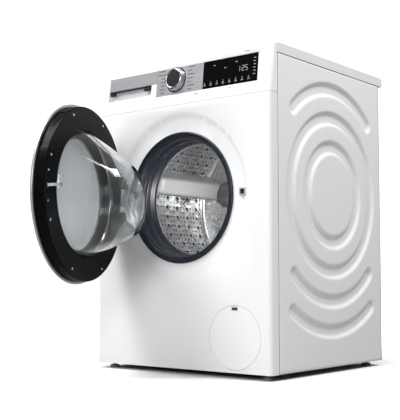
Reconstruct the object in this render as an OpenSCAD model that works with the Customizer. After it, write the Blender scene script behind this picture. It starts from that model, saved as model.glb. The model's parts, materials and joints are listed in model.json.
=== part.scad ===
// Front load washing machine, in millimetres, +Z up.
// The origin is the centre of the cabinet's footprint on the floor.
// The front panel faces -Y. The door is modelled at its opening angle.

/* [Cabinet] */
// Width of the cabinet
cab_w = 598; // [560:1:720]
// Height from the floor to the top of the worktop
cab_h = 848; // [846:1:1020]
// Depth from the front panel to the outside of the rear panel
body_d = 566; // [540:1:680]
// How far the worktop passes the rear panel
top_overhang = 24; // [10:1:60]
// Thickness of the steel sheet
sheet = 1.2; // [0.8:0.1:2]
// Gap between the floor and the lower edge of the panels
base_gap = 15; // [12:1:18]
// Thickness of the worktop
top_t = 26; // [16:1:34]
// Depth of the side returns of the front panel and the fascia
return_d = 34; // [30:1:40]
// Radius of the front vertical edges
corner_r = 10; // [6:1:14]
// Depth of the pressed rings in the side panels
emboss_d = 6; // [3:0.5:8]

/* [Control panel] */
// Height of the control panel
fascia_h = 129; // [120:1:150]
// Angle by which the control panel leans back
fascia_lean = 5.75; // [0:0.25:8]
// Wall of the moulded plastic pieces
wall = 2.5; // [2:0.1:3.5]
// Width of the drawer front
drawer_w = 204; // [180:1:220]
// Distance from the left side to the drawer front
drawer_inset = 12; // [8:1:20]
// How far the drawer pulls out
drawer_travel = 190; // [100:5:195]
// Lower edge of the trim strip above the panel seam
strip_low = 30; // [20:1:32]
// Height of the trim strip
strip_h = 75; // [60:1:84]
// Width of the brushed dial panel
dial_panel_w = 163; // [130:1:170]
// Width of the black display window
display_w = 178; // [140:1:190]
// Outer radius of the dial
dial_r = 33; // [22:1:36]
// How far the dial stands out
dial_h = 14; // [8:1:20]

/* [Door] */
// Height of the door centre above the floor
door_z = 468; // [440:1:480]
// Radius of the pressed dish around the door
dish_r = 232; // [228:1:260]
// Radius of the flat floor of the dish
dish_floor_r = 210; // [206:1:212]
// Depth of the dish
dish_d = 12; // [9:1:16]
// Radius of the opening in the front panel
mouth_r = 165; // [160:1:168]
// Radius of the door's inner face
face_r = 225; // [222:1:227]
// Radius of the door's glass opening
glass_r = 164; // [160:1:170]
// Depth of the door's side wall
door_d = 31; // [29:1:34]
// Angle at which the door stands open
door_open = 70.5; // [0:0.5:125]
// Radius of the glass bowl's nose
nose_r = 84; // [70:1:90]
// Depth of the glass bowl behind the door's inner face
nose_d = 134; // [90:1:140]
// How far the nose of the bowl sits below the door centre
nose_drop = 23; // [0:1:28]

/* [Drum and tub] */
// Radius of the drum
drum_r = 238; // [190:1:240]
// Depth of the drum
drum_d = 318; // [240:1:330]
// Radius of the drum's mouth
drum_mouth_r = 151; // [145:1:155]
// Gap between the drum and the tub
drum_gap = 8; // [6:1:12]
// Wall of the tub
tub_wall = 4; // [3:0.5:6]
// Radius of the drum pulley
pulley_r = 145; // [100:1:150]
// Radius of the motor pulley
motor_pulley_r = 13; // [9:0.5:20]
// Height of the motor axis above the floor
motor_z = 120; // [118:1:135]
// Radius of the front half of the drum shaft
shaft_r = 15; // [12:0.5:20]
// Radius of the rear half of the drum shaft
shaft_tail_r = 12.5; // [10:0.5:16]

/* [Small parts] */
// Radius of the service flap
flap_r = 80.2; // [60:0.1:84]
// Radius of the feet
foot_r = 13.5; // [12:0.5:20]
// Radius of the threaded foot stem
foot_stem_r = 5; // [4:0.5:6]
// Radius of the hinge pin
hinge_pin_r = 4; // [3:0.25:5]
// Radius of the water inlet's thread
inlet_r = 13.2; // [10:0.1:14]
// Radius of the drain outlet spigot
outlet_r = 11; // [8:0.5:14]

/* [Clearances] */
// Radial clearance of pins and shafts in their bores
run_gap = 0.05; // [0.02:0.01:0.1]
// Visible gap between neighbouring panels
seam_gap = 0.8; // [0.4:0.1:1.5]
// Gap between moulded pieces that move past each other
slide_gap = 1; // [0.5:0.1:2]

/* [Hidden] */
$fn = 64;

// Planes of the cabinet
half_w = cab_w / 2;
front_y = -(body_d + top_overhang) / 2;
rear_y = front_y + body_d;
top_rear_y = rear_y + top_overhang;
seam_z = cab_h - fascia_h;
top_z = cab_h - top_t;
return_y = front_y + return_d;
tray_z = base_gap + 2;
tray_top = tray_z + sheet;

// Side panels
groove_half = 21;
groove_r = 129;
groove_pitch = 79.5;
groove_rings = [groove_r, groove_r + groove_pitch];
groove_arcs = [[groove_r + 2 * groove_pitch, 48, 132], [groove_r + 2 * groove_pitch, 228, 312],
    [groove_r + 3 * groove_pitch, 237, 303]];

// Dish and door
dish_y = front_y + dish_d;
lip_y = dish_y + 18;
face_sink = 2;
face_y = front_y + face_sink;
rim_y = face_y - door_d;
rim_r = face_r + 7;
hinge_x = -(face_r - 11);
hinge_y = front_y - 16.9;
hinge_half = 34;
hinge_base_x = -194;
knuckle_half = 19;
knuckle_r = hinge_pin_r + 3.5;
door_wall = 3;
window_r = 150;
bowl_wall = 5;
bowl_flange_r = glass_r + 7;
bowl_y = face_y - 6;
latch_x = 208;
latch_z = door_z + 4;
latch_pivot_y = face_y - 12;
latch_reach = 35;
latch_pin_r = 2;
screw_shank_r = 1.6;
lock_half_w = 10;
lock_half_h = 9.5;

// Service flap and pump
flap_x = 187.6;
flap_z = 103;
flap_gap = seam_gap;
flap_t = 2.5;
flap_frame_y = front_y + 33;
flap_skirt = 14;
pump_z = 80;
filter_r = 29;
filter_y = flap_frame_y - 8;
pump_y = front_y + 130;

// Drum, tub and drive
drum_y = front_y + 84;
drum_back_y = drum_y + drum_d;
tub_in_r = drum_r + drum_gap;
tub_r = tub_in_r + tub_wall;
tub_y = drum_y - 11;
tub_split_y = front_y + 250;
tub_back_y = drum_back_y + 28;
tub_mouth_r = drum_mouth_r + 9;
collar_y = tub_y - 14;
housing_r = 45;
front_bearing_y = tub_back_y + 3;
front_bearing_w = 16;
front_bearing_r = shaft_r + 16;
rear_bearing_y = front_bearing_y + front_bearing_w + 6;
rear_bearing_w = 15;
rear_bearing_r = shaft_tail_r + 13.5;
housing_y = rear_bearing_y + rear_bearing_w + 2;
shaft_step_y = rear_bearing_y - 3;
belt_y = housing_y + 16;
belt_w = 12;
belt_t = 3;
belt_gap = 0.4;
motor_r = 60;
motor_y = belt_y - 120;
motor_len = 108;
rotor_r = 36;
rotor_gap = 1;
motor_shaft_r = 7;
sump_half_w = 62;
sump_z = door_z - tub_r - 22;
sump_y0 = tub_y + 42;
sump_y1 = tub_back_y - 15;
sump_port_y = front_y + 195;
weight_y = lip_y + 7;
weight_t = 32;
heater_z = sump_z + 14;
heater_rod_r = 3.5;
paddle_h = 62;
paddle_angles = [163, 43, -77];
dispenser_port_x = -165;
dispenser_port_y = front_y + 165;
tub_port_top = door_z + sqrt(tub_r * tub_r - pow(dispenser_port_x, 2)) + 40;

// Suspension
damper_x = 170;
damper_y = tub_split_y + 18;
damper_r = 15;
damper_rod_r = 8;
damper_top = 190;
damper_lug_half = 14;
damper_lug_z0 = door_z - sqrt(pow(tub_r, 2) - pow(damper_x - damper_lug_half, 2)) - 10;
damper_lug_z1 = door_z - sqrt(pow(tub_r, 2) - pow(damper_x + damper_lug_half, 2)) + 1;
spring_x = tub_r - 18;
spring_y = front_y + 295;
spring_r = 10;
spring_wire_r = 2;
lug_z = door_z + 132;

// Control panel
drawer_x0 = -half_w + drawer_inset;
drawer_x1 = drawer_x0 + drawer_w;
panel_x0 = drawer_x1 + seam_gap;
panel_x1 = panel_x0 + dial_panel_w;
display_x1 = panel_x1 + display_w;
dial_x = panel_x0 + 68;
dial_s = 71;
plate_t = 1.5;
drawer_margin = 3.5;
grip_x0 = drawer_x0 + 21;
grip_pocket_x1 = drawer_x1 - 20;
grip_split = 68;
grip_low = 38;
grip_d = 22;
box_z0 = top_z - 90;
box_z1 = top_z - 4;
box_y0 = return_y - 1;
box_y1 = box_y0 + drawer_travel + 36;
box_x0 = drawer_x0 + 3;
box_x1 = drawer_x1 - 3;
tray_y0 = front_y + 42;

// Feet
foot_x = half_w - 34;
foot_front_y = front_y + 35;
foot_rear_y = front_y + 530;
foot_pad_h = 7;
nut_h = 6;

// Rear services
rear_cover_w = 380;
rear_cover_h = 460;
rear_cover_z = door_z - 68;
transit_r = 16;
transit_points = [[-225, 330], [225, 330], [-225, 600], [225, 600]];
inlet_x = -205;
inlet_z = top_z - 44;
outlet_x = 205;
outlet_z = top_z - 62;
gland_x = 235;
gland_z = 120;
gland_r = 4;

// Functions

// Unit vector of v
function unit(v) = v / norm(v);
// Point at angle a on a circle of radius r
function polar(r, a) = [r * cos(a), r * sin(a)];
// Catmull-Rom point between p1 and p2 at t
function spline(p0, p1, p2, p3, t) =
    0.5 * (2 * p1 + (p2 - p0) * t + (2 * p0 - 5 * p1 + 4 * p2 - p3) * t * t
    + (3 * p1 - p0 - 3 * p2 + p3) * t * t * t);
// Smooth route through control points, n steps in each stretch
function route(p, n) = concat(
    [for (i = [0 : len(p) - 2]) for (k = [0 : n - 1])
        spline(p[max(i - 1, 0)], p[i], p[i + 1], p[min(i + 2, len(p) - 1)], k / n)],
    [p[len(p) - 1]]);
// Direction of a route at its point i
function heading(p, i) = unit(p[min(i + 1, len(p) - 1)] - p[max(i - 1, 0)]);

// Helpers

// Tube along a route; ref is a direction that the route never takes
module sweep(p, r, sides, ref) {
    rings = [for (i = [0 : len(p) - 1])
        let (t = heading(p, i), u = unit(cross(t, ref)), v = cross(u, t))
        for (k = [0 : sides - 1])
            p[i] + r * (cos(360 * k / sides) * u + sin(360 * k / sides) * v)];
    walls = [for (i = [0 : len(p) - 2]) for (k = [0 : sides - 1])
        let (a = i * sides + k, b = i * sides + (k + 1) % sides)
        [a, b, b + sides, a + sides]];
    first = [for (k = [sides - 1 : -1 : 0]) k];
    last = [for (k = [0 : sides - 1]) (len(p) - 1) * sides + k];
    polyhedron(rings, concat([first], walls, [last]));
}

// Cylinder along +Y from y0 to y1
module rod_y(x, z, r, y0, y1) {
    translate([x, y0, z])
        rotate([-90, 0, 0])
            cylinder(r = r, h = y1 - y0);
}

// Ring along +Y from y0 to y1
module ring_y(x, z, r_out, r_in, y0, y1) {
    difference() {
        rod_y(x, z, r_out, y0, y1);
        rod_y(x, z, r_in, y0 - 1, y1 + 1);
    }
}

// Profile of [radius, y] points turned around an axis along Y at height z
module turned(points, x, z) {
    translate([x, 0, z])
        rotate([-90, 0, 0])
            rotate_extrude($fn = 128)
                polygon(points);
}

// Box between two corners
module block(a, b) {
    translate(a)
        cube(b - a);
}

// Plan outline with rounded front corners; the front edge is at y = 0
module front_outline(w, d, r) {
    translate([-w / 2, r])
        square([w, d - r]);
    translate([-w / 2 + r, 0])
        square([w - 2 * r, d]);
    for (s = [-1, 1])
        translate([s * (w / 2 - r), r])
            circle(r = r);
}

// Rectangle with four round corners around the origin
module round_rect(w, h, r) {
    square([w - 2 * r, h], center = true);
    square([w, h - 2 * r], center = true);
    for (sx = [-1, 1])
        for (sy = [-1, 1])
            translate([sx * (w / 2 - r), sy * (h / 2 - r)])
                circle(r = r);
}

// Local frame of the leaning control panel: X right, Y inwards, Z up the face
module on_fascia() {
    translate([0, front_y, seam_z])
        rotate([-fascia_lean, 0, 0])
            children();
}

// Turns a piece of the closed door to the opening angle
module on_door() {
    translate([hinge_x, hinge_y, 0])
        rotate([0, 0, -door_open])
            translate([-hinge_x, -hinge_y, 0])
                children();
}

// Cabinet

module base_tray() {
    tray_y0 = front_y + 8;
    tray_y1 = rear_y - 3;
    tray_half = half_w - sheet - 1;
    color("lightgray")
        difference() {
            union() {
                block([-tray_half, tray_y0, tray_z], [tray_half, tray_y1, tray_top]);
                for (s = [-1, 1])
                    block([s < 0 ? -tray_half : tray_half - sheet, tray_y0, tray_z],
                        [s < 0 ? -tray_half + sheet : tray_half, tray_y1, tray_z + 40]);
                block([-tray_half, tray_y1 - sheet, tray_z], [tray_half, tray_y1, tray_z + 40]);
                block([-tray_half, tray_y0, tray_z], [tray_half, tray_y0 + sheet, tray_z + 2]);
                for (x = [-foot_x, foot_x])
                    for (y = [foot_front_y, foot_rear_y])
                        translate([x, y, tray_z])
                            cylinder(r = foot_stem_r + 8, h = 16);
            }
            for (x = [-foot_x, foot_x])
                for (y = [foot_front_y, foot_rear_y])
                    translate([x, y, tray_z - 1])
                        cylinder(r = foot_stem_r + run_gap, h = 30);
        }
}

// Round-ended bar of half-width half bent along an arc of radius r from a0 to a1
module arc_bar(r, half, a0, a1, h) {
    rotate([0, 0, a0])
        rotate_extrude(angle = a1 - a0, $fn = 128)
            translate([r - half, 0])
                square([2 * half, h]);
    for (a = [a0, a1])
        rotate([0, 0, a])
            translate([r, 0, 0])
                cylinder(r = half, h = h);
}

// Closed ring of half-width half and radius r
module ring_bar(r, half, h) {
    rotate_extrude($fn = 128)
        translate([r - half, 0])
            square([2 * half, h]);
}

// Side panel with pressed rings; s is -1 for the left and 1 for the right
module side_panel(s) {
    panel_y1 = rear_y - sheet;
    difference() {
        union() {
            block([s < 0 ? -half_w : half_w - sheet, return_y + seam_gap, base_gap],
                [s < 0 ? -half_w + sheet : half_w, panel_y1, top_z - 0.2]);
            block([s < 0 ? -half_w + sheet / 2 : half_w - 16, panel_y1 - sheet, base_gap],
                [s < 0 ? -half_w + 16 : half_w - sheet / 2, panel_y1, top_z - 0.2]);
            translate([s * (half_w - sheet / 2), 5, door_z + 9])
                rotate([90, 0, -90 * s]) {
                    for (r = groove_rings)
                        ring_bar(r, groove_half, emboss_d + sheet / 2);
                    for (g = groove_arcs)
                        arc_bar(g[0], groove_half, g[1], g[2], emboss_d + sheet / 2);
                }
        }
        translate([s * (half_w + 1), 5, door_z + 9])
            rotate([90, 0, -90 * s]) {
                for (r = groove_rings)
                    ring_bar(r, groove_half - sheet, emboss_d + 1);
                for (g = groove_arcs)
                    arc_bar(g[0], groove_half - sheet, g[1], g[2], emboss_d + 1);
            }
    }
}

module side_panel_left() {
    color("whitesmoke")
        side_panel(-1);
}

module side_panel_right() {
    color("whitesmoke")
        side_panel(1);
}

module rear_panel() {
    color("gainsboro")
        difference() {
            block([-half_w + 1, rear_y - sheet, base_gap], [half_w - 1, rear_y, top_z - 0.2]);
            translate([0, rear_y + 1, rear_cover_z])
                rotate([90, 0, 0])
                    linear_extrude(sheet + 4)
                        round_rect(rear_cover_w - 24, rear_cover_h - 24, 60);
            for (p = transit_points)
                rod_y(p[0], p[1], transit_r, rear_y - 5, rear_y + 5);
            rod_y(inlet_x, inlet_z, inlet_r + 1, rear_y - 5, rear_y + 5);
            rod_y(outlet_x, outlet_z, outlet_r + 1, rear_y - 5, rear_y + 5);
            rod_y(gland_x, gland_z, gland_r + 5, rear_y - 5, rear_y + 5);
        }
}

module rear_cover() {
    color("silver") {
        difference() {
            translate([0, rear_y + sheet, rear_cover_z])
                rotate([90, 0, 0])
                    linear_extrude(sheet)
                        round_rect(rear_cover_w, rear_cover_h, 70);
            translate([0, rear_y + sheet + 1, rear_cover_z])
                rotate([90, 0, 0])
                    linear_extrude(sheet + 2)
                        round_rect(rear_cover_w - 70, rear_cover_h - 70, 50);
        }
        difference() {
            translate([0, rear_y + 4, rear_cover_z])
                rotate([90, 0, 0])
                    linear_extrude(4)
                        round_rect(rear_cover_w - 70 + 2 * sheet, rear_cover_h - 70 + 2 * sheet, 51);
            translate([0, rear_y + 4 - sheet, rear_cover_z])
                rotate([90, 0, 0])
                    linear_extrude(5)
                        round_rect(rear_cover_w - 70, rear_cover_h - 70, 50);
        }
        for (sx = [-1, 1])
            for (sz = [-1, 0, 1])
                rod_y(sx * (rear_cover_w / 2 - 12), rear_cover_z + sz * 150, 4,
                    rear_y + sheet, rear_y + sheet + 2.5);
    }
}

module front_panel() {
    panel_h = seam_z - seam_gap - base_gap;
    color("white")
        difference() {
            union() {
                difference() {
                    translate([0, front_y, base_gap])
                        linear_extrude(panel_h)
                            front_outline(cab_w, return_d, corner_r);
                    translate([0, front_y + sheet, base_gap + sheet])
                        linear_extrude(panel_h - 2 * sheet)
                            front_outline(cab_w - 2 * sheet, return_d + 5, corner_r - sheet);
                    translate([0, front_y + 22, base_gap - 5])
                        linear_extrude(panel_h + 10)
                            front_outline(cab_w - 2 * sheet, return_d, 1);
                    rod_y(0, door_z, dish_r, front_y - 1, front_y + sheet + 1);
                }
                turned([[dish_r, front_y], [dish_floor_r, dish_y], [mouth_r, dish_y],
                    [mouth_r, lip_y], [mouth_r + sheet, lip_y], [mouth_r + sheet, dish_y + sheet],
                    [dish_floor_r + 0.4, dish_y + sheet], [dish_r + 1, front_y + sheet],
                    [dish_r + 1, front_y]], 0, door_z);
            }
            rod_y(flap_x, flap_z, flap_r + flap_gap, front_y - 1, front_y + sheet + 1);
            block([latch_x - lock_half_w - 0.5, front_y - 1, latch_z - lock_half_h - 0.5],
                [latch_x + lock_half_w + 0.5, dish_y + 5, latch_z + lock_half_h + 0.5]);
            for (z = [-1, 1])
                rod_y(hinge_base_x, door_z + z * (hinge_half + 8), 2.5, front_y - 1, dish_y + 5);
        }
}

module hinge_bracket() {
    base_half = hinge_half + 14;
    color("silver")
        difference() {
            union() {
                block([hinge_base_x - 11, dish_y - 3, door_z - base_half],
                    [hinge_base_x + 11, dish_y, door_z + base_half]);
                for (s = [-1, 1])
                    translate([0, 0, s < 0 ? door_z - hinge_half : door_z + knuckle_half + 0.5])
                        linear_extrude(hinge_half - knuckle_half - 0.5) {
                            polygon([[hinge_x - knuckle_r * 0.72, hinge_y + knuckle_r * 0.7],
                                [hinge_x + knuckle_r * 0.9, hinge_y - knuckle_r * 0.4],
                                [hinge_base_x + 4, dish_y - 1], [hinge_base_x - 11, dish_y - 1]]);
                            translate([hinge_x, hinge_y])
                                circle(r = knuckle_r);
                        }
                for (z = [-1, 1])
                    rod_y(hinge_base_x, door_z + z * (hinge_half + 8), 4, dish_y - 5.5, dish_y);
            }
            translate([hinge_x, hinge_y, door_z - hinge_half - 5])
                cylinder(r = hinge_pin_r, h = 2 * hinge_half + 10);
        }
}

module hinge_pin() {
    color("dimgray")
        translate([hinge_x, hinge_y, door_z - hinge_half - 1])
            cylinder(r = hinge_pin_r, h = 2 * hinge_half + 2);
}

module lock_bezel() {
    color("gray")
        difference() {
            block([latch_x - lock_half_w, dish_y - 6, latch_z - lock_half_h],
                [latch_x + lock_half_w, dish_y + 1, latch_z + lock_half_h]);
            block([latch_x - 7.5, dish_y - 7, latch_z - 6.5],
                [latch_x + 6, dish_y + 2, latch_z + 6.5]);
        }
}

module door_lock() {
    color("darkslategray")
        difference() {
            block([latch_x - 16, dish_y + sheet + 0.2, latch_z - 26],
                [latch_x + 16, face_y + latch_reach + 10, latch_z + 26]);
            block([latch_x - 7.5, dish_y, latch_z - 6.5],
                [latch_x + 6, face_y + latch_reach + 5, latch_z + 6.5]);
        }
}

module worktop() {
    color("white")
        difference() {
            union() {
                block([-half_w, return_y + seam_gap, top_z], [half_w, top_rear_y - 12, cab_h]);
                block([-half_w + 1, top_rear_y - 12, top_z + 1], [half_w - 1, top_rear_y, cab_h - 1]);
            }
            block([-half_w + 18, return_y + 16, top_z - 1], [half_w - 18, rear_y - 12, top_z + 8]);
        }
}

module top_braces() {
    color("silver") {
        for (y = [spring_y, rear_y - 24])
            difference() {
                block([-half_w + sheet + 0.2, y - 15, top_z - 22],
                    [half_w - sheet - 0.2, y + 15, top_z - 0.4]);
                block([-half_w + 6, y - 15 + sheet, top_z - 22 + sheet],
                    [half_w - 6, y + 15 - sheet, top_z + 1]);
            }
    }
}

// Control panel

module control_fascia() {
    cavity = fascia_h - 2 * wall;
    color("white")
        difference() {
            intersection() {
                on_fascia()
                    translate([0, 0, -20])
                        linear_extrude(fascia_h + 40)
                            front_outline(cab_w, 80, corner_r);
                translate([0, return_y, (seam_z + cab_h) / 2])
                    rotate([90, 0, 0])
                        linear_extrude(return_d + 10) {
                            round_rect(cab_w, fascia_h, 6);
                            translate([-half_w, -fascia_h / 2])
                                square([cab_w, 20]);
                        }
            }
            intersection() {
                on_fascia()
                    block([-half_w + corner_r, wall, -20], [half_w - corner_r, 80, fascia_h + 20]);
                block([-half_w, front_y, seam_z + wall], [half_w, return_y + 5, seam_z + wall + cavity]);
            }
            block([-half_w + wall, front_y + corner_r + 16, seam_z + wall],
                [half_w - wall, return_y + 5, seam_z + wall + cavity]);
            on_fascia() {
                block([drawer_x0, -5, drawer_margin], [drawer_x1, wall + 5, fascia_h - drawer_margin]);
                block([panel_x0, -5, strip_low], [display_x1, plate_t, strip_low + strip_h]);
                block([panel_x1 + 8, -5, strip_low + 8],
                    [display_x1 - 8, wall + 5, strip_low + strip_h - 8]);
                translate([dial_x, -5, dial_s])
                    rotate([-90, 0, 0])
                        cylinder(r = 8, h = 20);
            }
            block([drawer_x0, return_y - 20, seam_z + wall], [drawer_x1, return_y + 5, cab_h - wall]);
        }
}

module dial_panel() {
    color("silver")
        on_fascia()
            difference() {
                block([panel_x0 + 0.1, -0.2, strip_low + 0.1],
                    [panel_x1, plate_t, strip_low + strip_h - 0.1]);
                translate([dial_x, -5, dial_s])
                    rotate([-90, 0, 0])
                        cylinder(r = 8, h = 20);
            }
}

module display_window() {
    color("black")
        on_fascia()
            block([panel_x1 + 0.2, -0.2, strip_low + 0.1],
                [display_x1 - 0.1, plate_t, strip_low + strip_h - 0.1]);
}

module control_board() {
    color("seagreen")
        on_fascia() {
            difference() {
                block([dial_x - 30, wall + 7, 22], [display_x1 - 4, wall + 9, 112]);
                translate([dial_x, 0, dial_s])
                    rotate([-90, 0, 0])
                        cylinder(r = 6, h = 40);
            }
            ring_local(dial_x, dial_s, 12, 4, wall + 9, wall + 18);
            block([panel_x1 + 14, wall + 0.5, 52], [display_x1 - 14, wall + 7, 88]);
        }
}

// Ring along the fascia's inward direction
module ring_local(x, s, r_out, r_in, y0, y1) {
    translate([x, y0, s])
        rotate([-90, 0, 0])
            difference() {
                cylinder(r = r_out, h = y1 - y0);
                translate([0, 0, -1])
                    cylinder(r = r_in, h = y1 - y0 + 2);
            }
}

module dial_ring() {
    shaft = 3;
    color("silver")
        on_fascia()
            translate([dial_x, 0, dial_s])
                rotate([90, 0, 0]) {
                    rotate_extrude($fn = 96)
                        polygon([[0, 0.6], [dial_r, 0.6], [dial_r, 2.5], [dial_r - 2, 4],
                            [dial_r - 2.6, dial_h * 0.55], [dial_r - 4.5, dial_h * 0.85],
                            [dial_r - 7, dial_h], [dial_r - 9.2, dial_h - 0.6],
                            [dial_r - 9.8, dial_h - 2], [0, dial_h - 1.2]]);
                    translate([0, 0, -wall - 16])
                        cylinder(r = shaft, h = wall + 18);
                }
}

module drawer_front() {
    gap = seam_gap / 2;
    x0 = drawer_x0 + gap;
    x1 = drawer_x1 - gap;
    s0 = drawer_margin + gap;
    s1 = fascia_h - drawer_margin - gap;
    skirt = 12;
    color("white")
        on_fascia()
            difference() {
                union() {
                    difference() {
                        block([x0, 0, s0], [x1, skirt, s1]);
                        block([x0 + wall, wall, s0 + wall], [x1 - wall, skirt + 5, s1 - wall]);
                    }
                    block([grip_x0 - 5, 1, grip_low - wall],
                        [grip_pocket_x1 + wall, grip_d + wall, grip_split + 14]);
                }
                block([grip_x0 - 2, 3, grip_low], [grip_pocket_x1, grip_d, grip_split + 11]);
                block([grip_x0 - 2, -1, grip_low], [grip_pocket_x1, 4, grip_split]);
                block([grip_x0, -1, grip_split], [drawer_x1 + 1, plate_t, strip_low + strip_h]);
            }
}

module drawer_grip_plate() {
    color("silver")
        on_fascia()
            block([grip_x0 + 0.1, -0.2, grip_split], [drawer_x1 - seam_gap / 2,
                plate_t, strip_low + strip_h - 0.1]);
}

module drawer_tray() {
    x0 = box_x0 + 2 + slide_gap;
    x1 = box_x1 - 2 - slide_gap;
    z0 = box_z0 + 2 + slide_gap;
    z1 = box_z1 - 24;
    y1 = box_y1 - 8;
    bay = (x1 - x0 - 4 * 2) / 3;
    color("ghostwhite") {
        difference() {
            block([x0, tray_y0, z0], [x1, y1, z1]);
            for (i = [0 : 2])
                block([x0 + 2 + i * (bay + 2), tray_y0 + 2, z0 + 2],
                    [x0 + 2 + i * (bay + 2) + bay, y1 - 2, z1 + 1]);
        }
        block([x0 + 8, front_y + 30.5, z0 + 6], [x0 + 12, tray_y0, z0 + 36]);
        block([x1 - 12, front_y + 30.5, z0 + 6], [x1 - 8, tray_y0, z0 + 36]);
    }
}

module dispenser_housing() {
    port_x = dispenser_port_x;
    color("gainsboro")
        difference() {
            union() {
                block([box_x0, box_y0, box_z0], [box_x1, box_y1, box_z1]);
                translate([port_x, dispenser_port_y, box_z0 - 12])
                    cylinder(r = 16, h = 14);
                rod_y(inlet_x + 20, inlet_z, 7, box_y1 - 1, box_y1 + 14);
            }
            block([box_x0 + 2, box_y0 - 1, box_z0 + 2], [box_x1 - 2, box_y1 - 2, box_z1 - 2]);
            translate([port_x, dispenser_port_y, box_z0 - 20])
                cylinder(r = 13, h = 40);
            rod_y(inlet_x + 20, inlet_z, 5, box_y1 - 5, box_y1 + 20);
        }
}

// Water path

module inlet_valve() {
    color("whitesmoke") {
        block([inlet_x - 24, rear_y - 52, inlet_z - 20], [inlet_x + 24, rear_y - 10, inlet_z + 16]);
        rod_y(inlet_x, inlet_z, inlet_r + 4, rear_y - 10, rear_y - sheet);
        rod_y(inlet_x, inlet_z, inlet_r, rear_y - sheet, rear_y + 16);
        rod_y(inlet_x + 20, inlet_z, 5, rear_y - 66, rear_y - 52);
    }
}

module water_hoses() {
    x = inlet_x + 20;
    color("darkgray") {
        difference() {
            rod_y(x, inlet_z, 9, box_y1 + 2, rear_y - 53);
            rod_y(x, inlet_z, 7, box_y1, box_y1 + 14);
            rod_y(x, inlet_z, 5, rear_y - 66, rear_y - 50);
        }
        difference() {
            translate([dispenser_port_x, dispenser_port_y, tub_port_top - 12])
                cylinder(r = 19, h = box_z0 - 1 - tub_port_top + 12);
            translate([dispenser_port_x, dispenser_port_y, tub_port_top - 20])
                cylinder(r = 16, h = box_z0 - tub_port_top + 30);
        }
    }
}

module drain_pump() {
    inlet_y = front_y + 95;
    color("dimgray")
        difference() {
            union() {
                rod_y(flap_x, pump_z, filter_r + 5, filter_y + 9, pump_y);
                rod_y(flap_x, pump_z, 44, pump_y, pump_y + 36);
                rod_y(flap_x, pump_z, 27, pump_y + 36, pump_y + 100);
                translate([flap_x - 62, inlet_y, pump_z])
                    rotate([0, 90, 0])
                        cylinder(r = 15, h = 62);
                translate([flap_x + 30, pump_y + 18, pump_z])
                    cylinder(r = 10, h = 60);
                block([flap_x - 30, pump_y + 4, tray_top], [flap_x + 30, pump_y + 30, pump_z - 30]);
            }
            rod_y(flap_x, pump_z, filter_r + 1, filter_y, pump_y - 4);
        }
}

module pump_filter() {
    color("slategray") {
        difference() {
            rod_y(flap_x, pump_z, filter_r, filter_y, filter_y + 22);
            rod_y(flap_x, pump_z, filter_r - 3, filter_y - 1, filter_y + 5);
        }
        block([flap_x - 4, filter_y - 5, pump_z - filter_r + 4],
            [flap_x + 4, filter_y + 6, pump_z + filter_r - 4]);
        difference() {
            rod_y(flap_x, pump_z, filter_r - 5, filter_y + 21, pump_y - 12);
            rod_y(flap_x, pump_z, filter_r - 8, filter_y + 24, pump_y - 11);
            for (a = [0 : 60 : 300])
                translate([flap_x, 0, pump_z])
                    rotate([0, a, 0])
                        block([10, filter_y + 32, -4], [40, pump_y - 20, 4]);
        }
    }
}

module sump_hose() {
    start = [0, sump_port_y, sump_z - 20];
    finish = [flap_x - 62, front_y + 95, pump_z];
    path = route([start + [0, 0, 16], start - [0, 0, 14], start + [8, -10, -44],
        [52, -140, 88], finish - [30, -6, 0], finish + [12, 0, 0]], 5);
    color("dimgray")
        difference() {
            sweep(path, 19, 12, [0, 1, 0]);
            translate([0, sump_port_y, sump_z - 25])
                cylinder(r = 16, h = 60);
            translate([finish[0], finish[1], finish[2]])
                rotate([0, 90, 0])
                    cylinder(r = 15, h = 60);
        }
}

module drain_hose() {
    start = [flap_x + 30, pump_y + 18, pump_z + 62];
    finish = [outlet_x, rear_y - 21.2, outlet_z];
    path = route([start, start + [6, 2, 26], [254, front_y + 215, 200],
        [half_w - 25, front_y + 330, 330], [half_w - 23, front_y + 430, door_z],
        [half_w - 30, front_y + 505, 620], [half_w - 58, rear_y - 46, outlet_z - 34],
        finish - [0, 12, 0], finish], 5);
    color("silver")
        sweep(path, 9, 10, [0.6, -0.8, 0]);
}

module drain_outlet() {
    color("gray")
        difference() {
            union() {
                rod_y(outlet_x, outlet_z, outlet_r + 6, rear_y, rear_y + 3);
                rod_y(outlet_x, outlet_z, outlet_r, rear_y - 21, rear_y + 20);
            }
            rod_y(outlet_x, outlet_z, outlet_r - 3, rear_y - 15, rear_y + 21);
        }
}

module mains_gland() {
    color("dimgray")
        difference() {
            union() {
                rod_y(gland_x, gland_z, gland_r + 8, rear_y, rear_y + 3);
                rod_y(gland_x, gland_z, gland_r + 5, rear_y - 14, rear_y + 14);
            }
            rod_y(gland_x, gland_z, gland_r, rear_y - 20, rear_y + 20);
        }
}

module transit_caps() {
    color("whitesmoke")
        for (p = transit_points) {
            rod_y(p[0], p[1], transit_r + 5, rear_y, rear_y + 3);
            rod_y(p[0], p[1], transit_r - 0.1, rear_y - 10, rear_y);
        }
}

module door_gasket() {
    r = mouth_r;
    seat_r = tub_mouth_r + 4;
    color("midnightblue")
        turned([[r + 12, dish_y - 0.1], [r + 12, dish_y - 3.5], [r + 6, dish_y - 6],
            [r - 5, dish_y - 3], [r - 9.5, dish_y + 4], [r - 10, dish_y + 11],
            [r - 7.5, dish_y + 21], [tub_mouth_r, collar_y - 3], [tub_mouth_r, collar_y - 0.1],
            [seat_r + 0.1, collar_y - 0.1], [seat_r + 0.1, tub_y - 4], [seat_r + 4, tub_y - 4],
            [seat_r + 4, collar_y - 4], [tub_mouth_r + 4, collar_y - 9],
            [r - 4, dish_y + 23], [r - 0.2, lip_y + 0.2], [r - 0.2, dish_y - 0.1]], 0, door_z);
}

// Service flap

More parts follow.
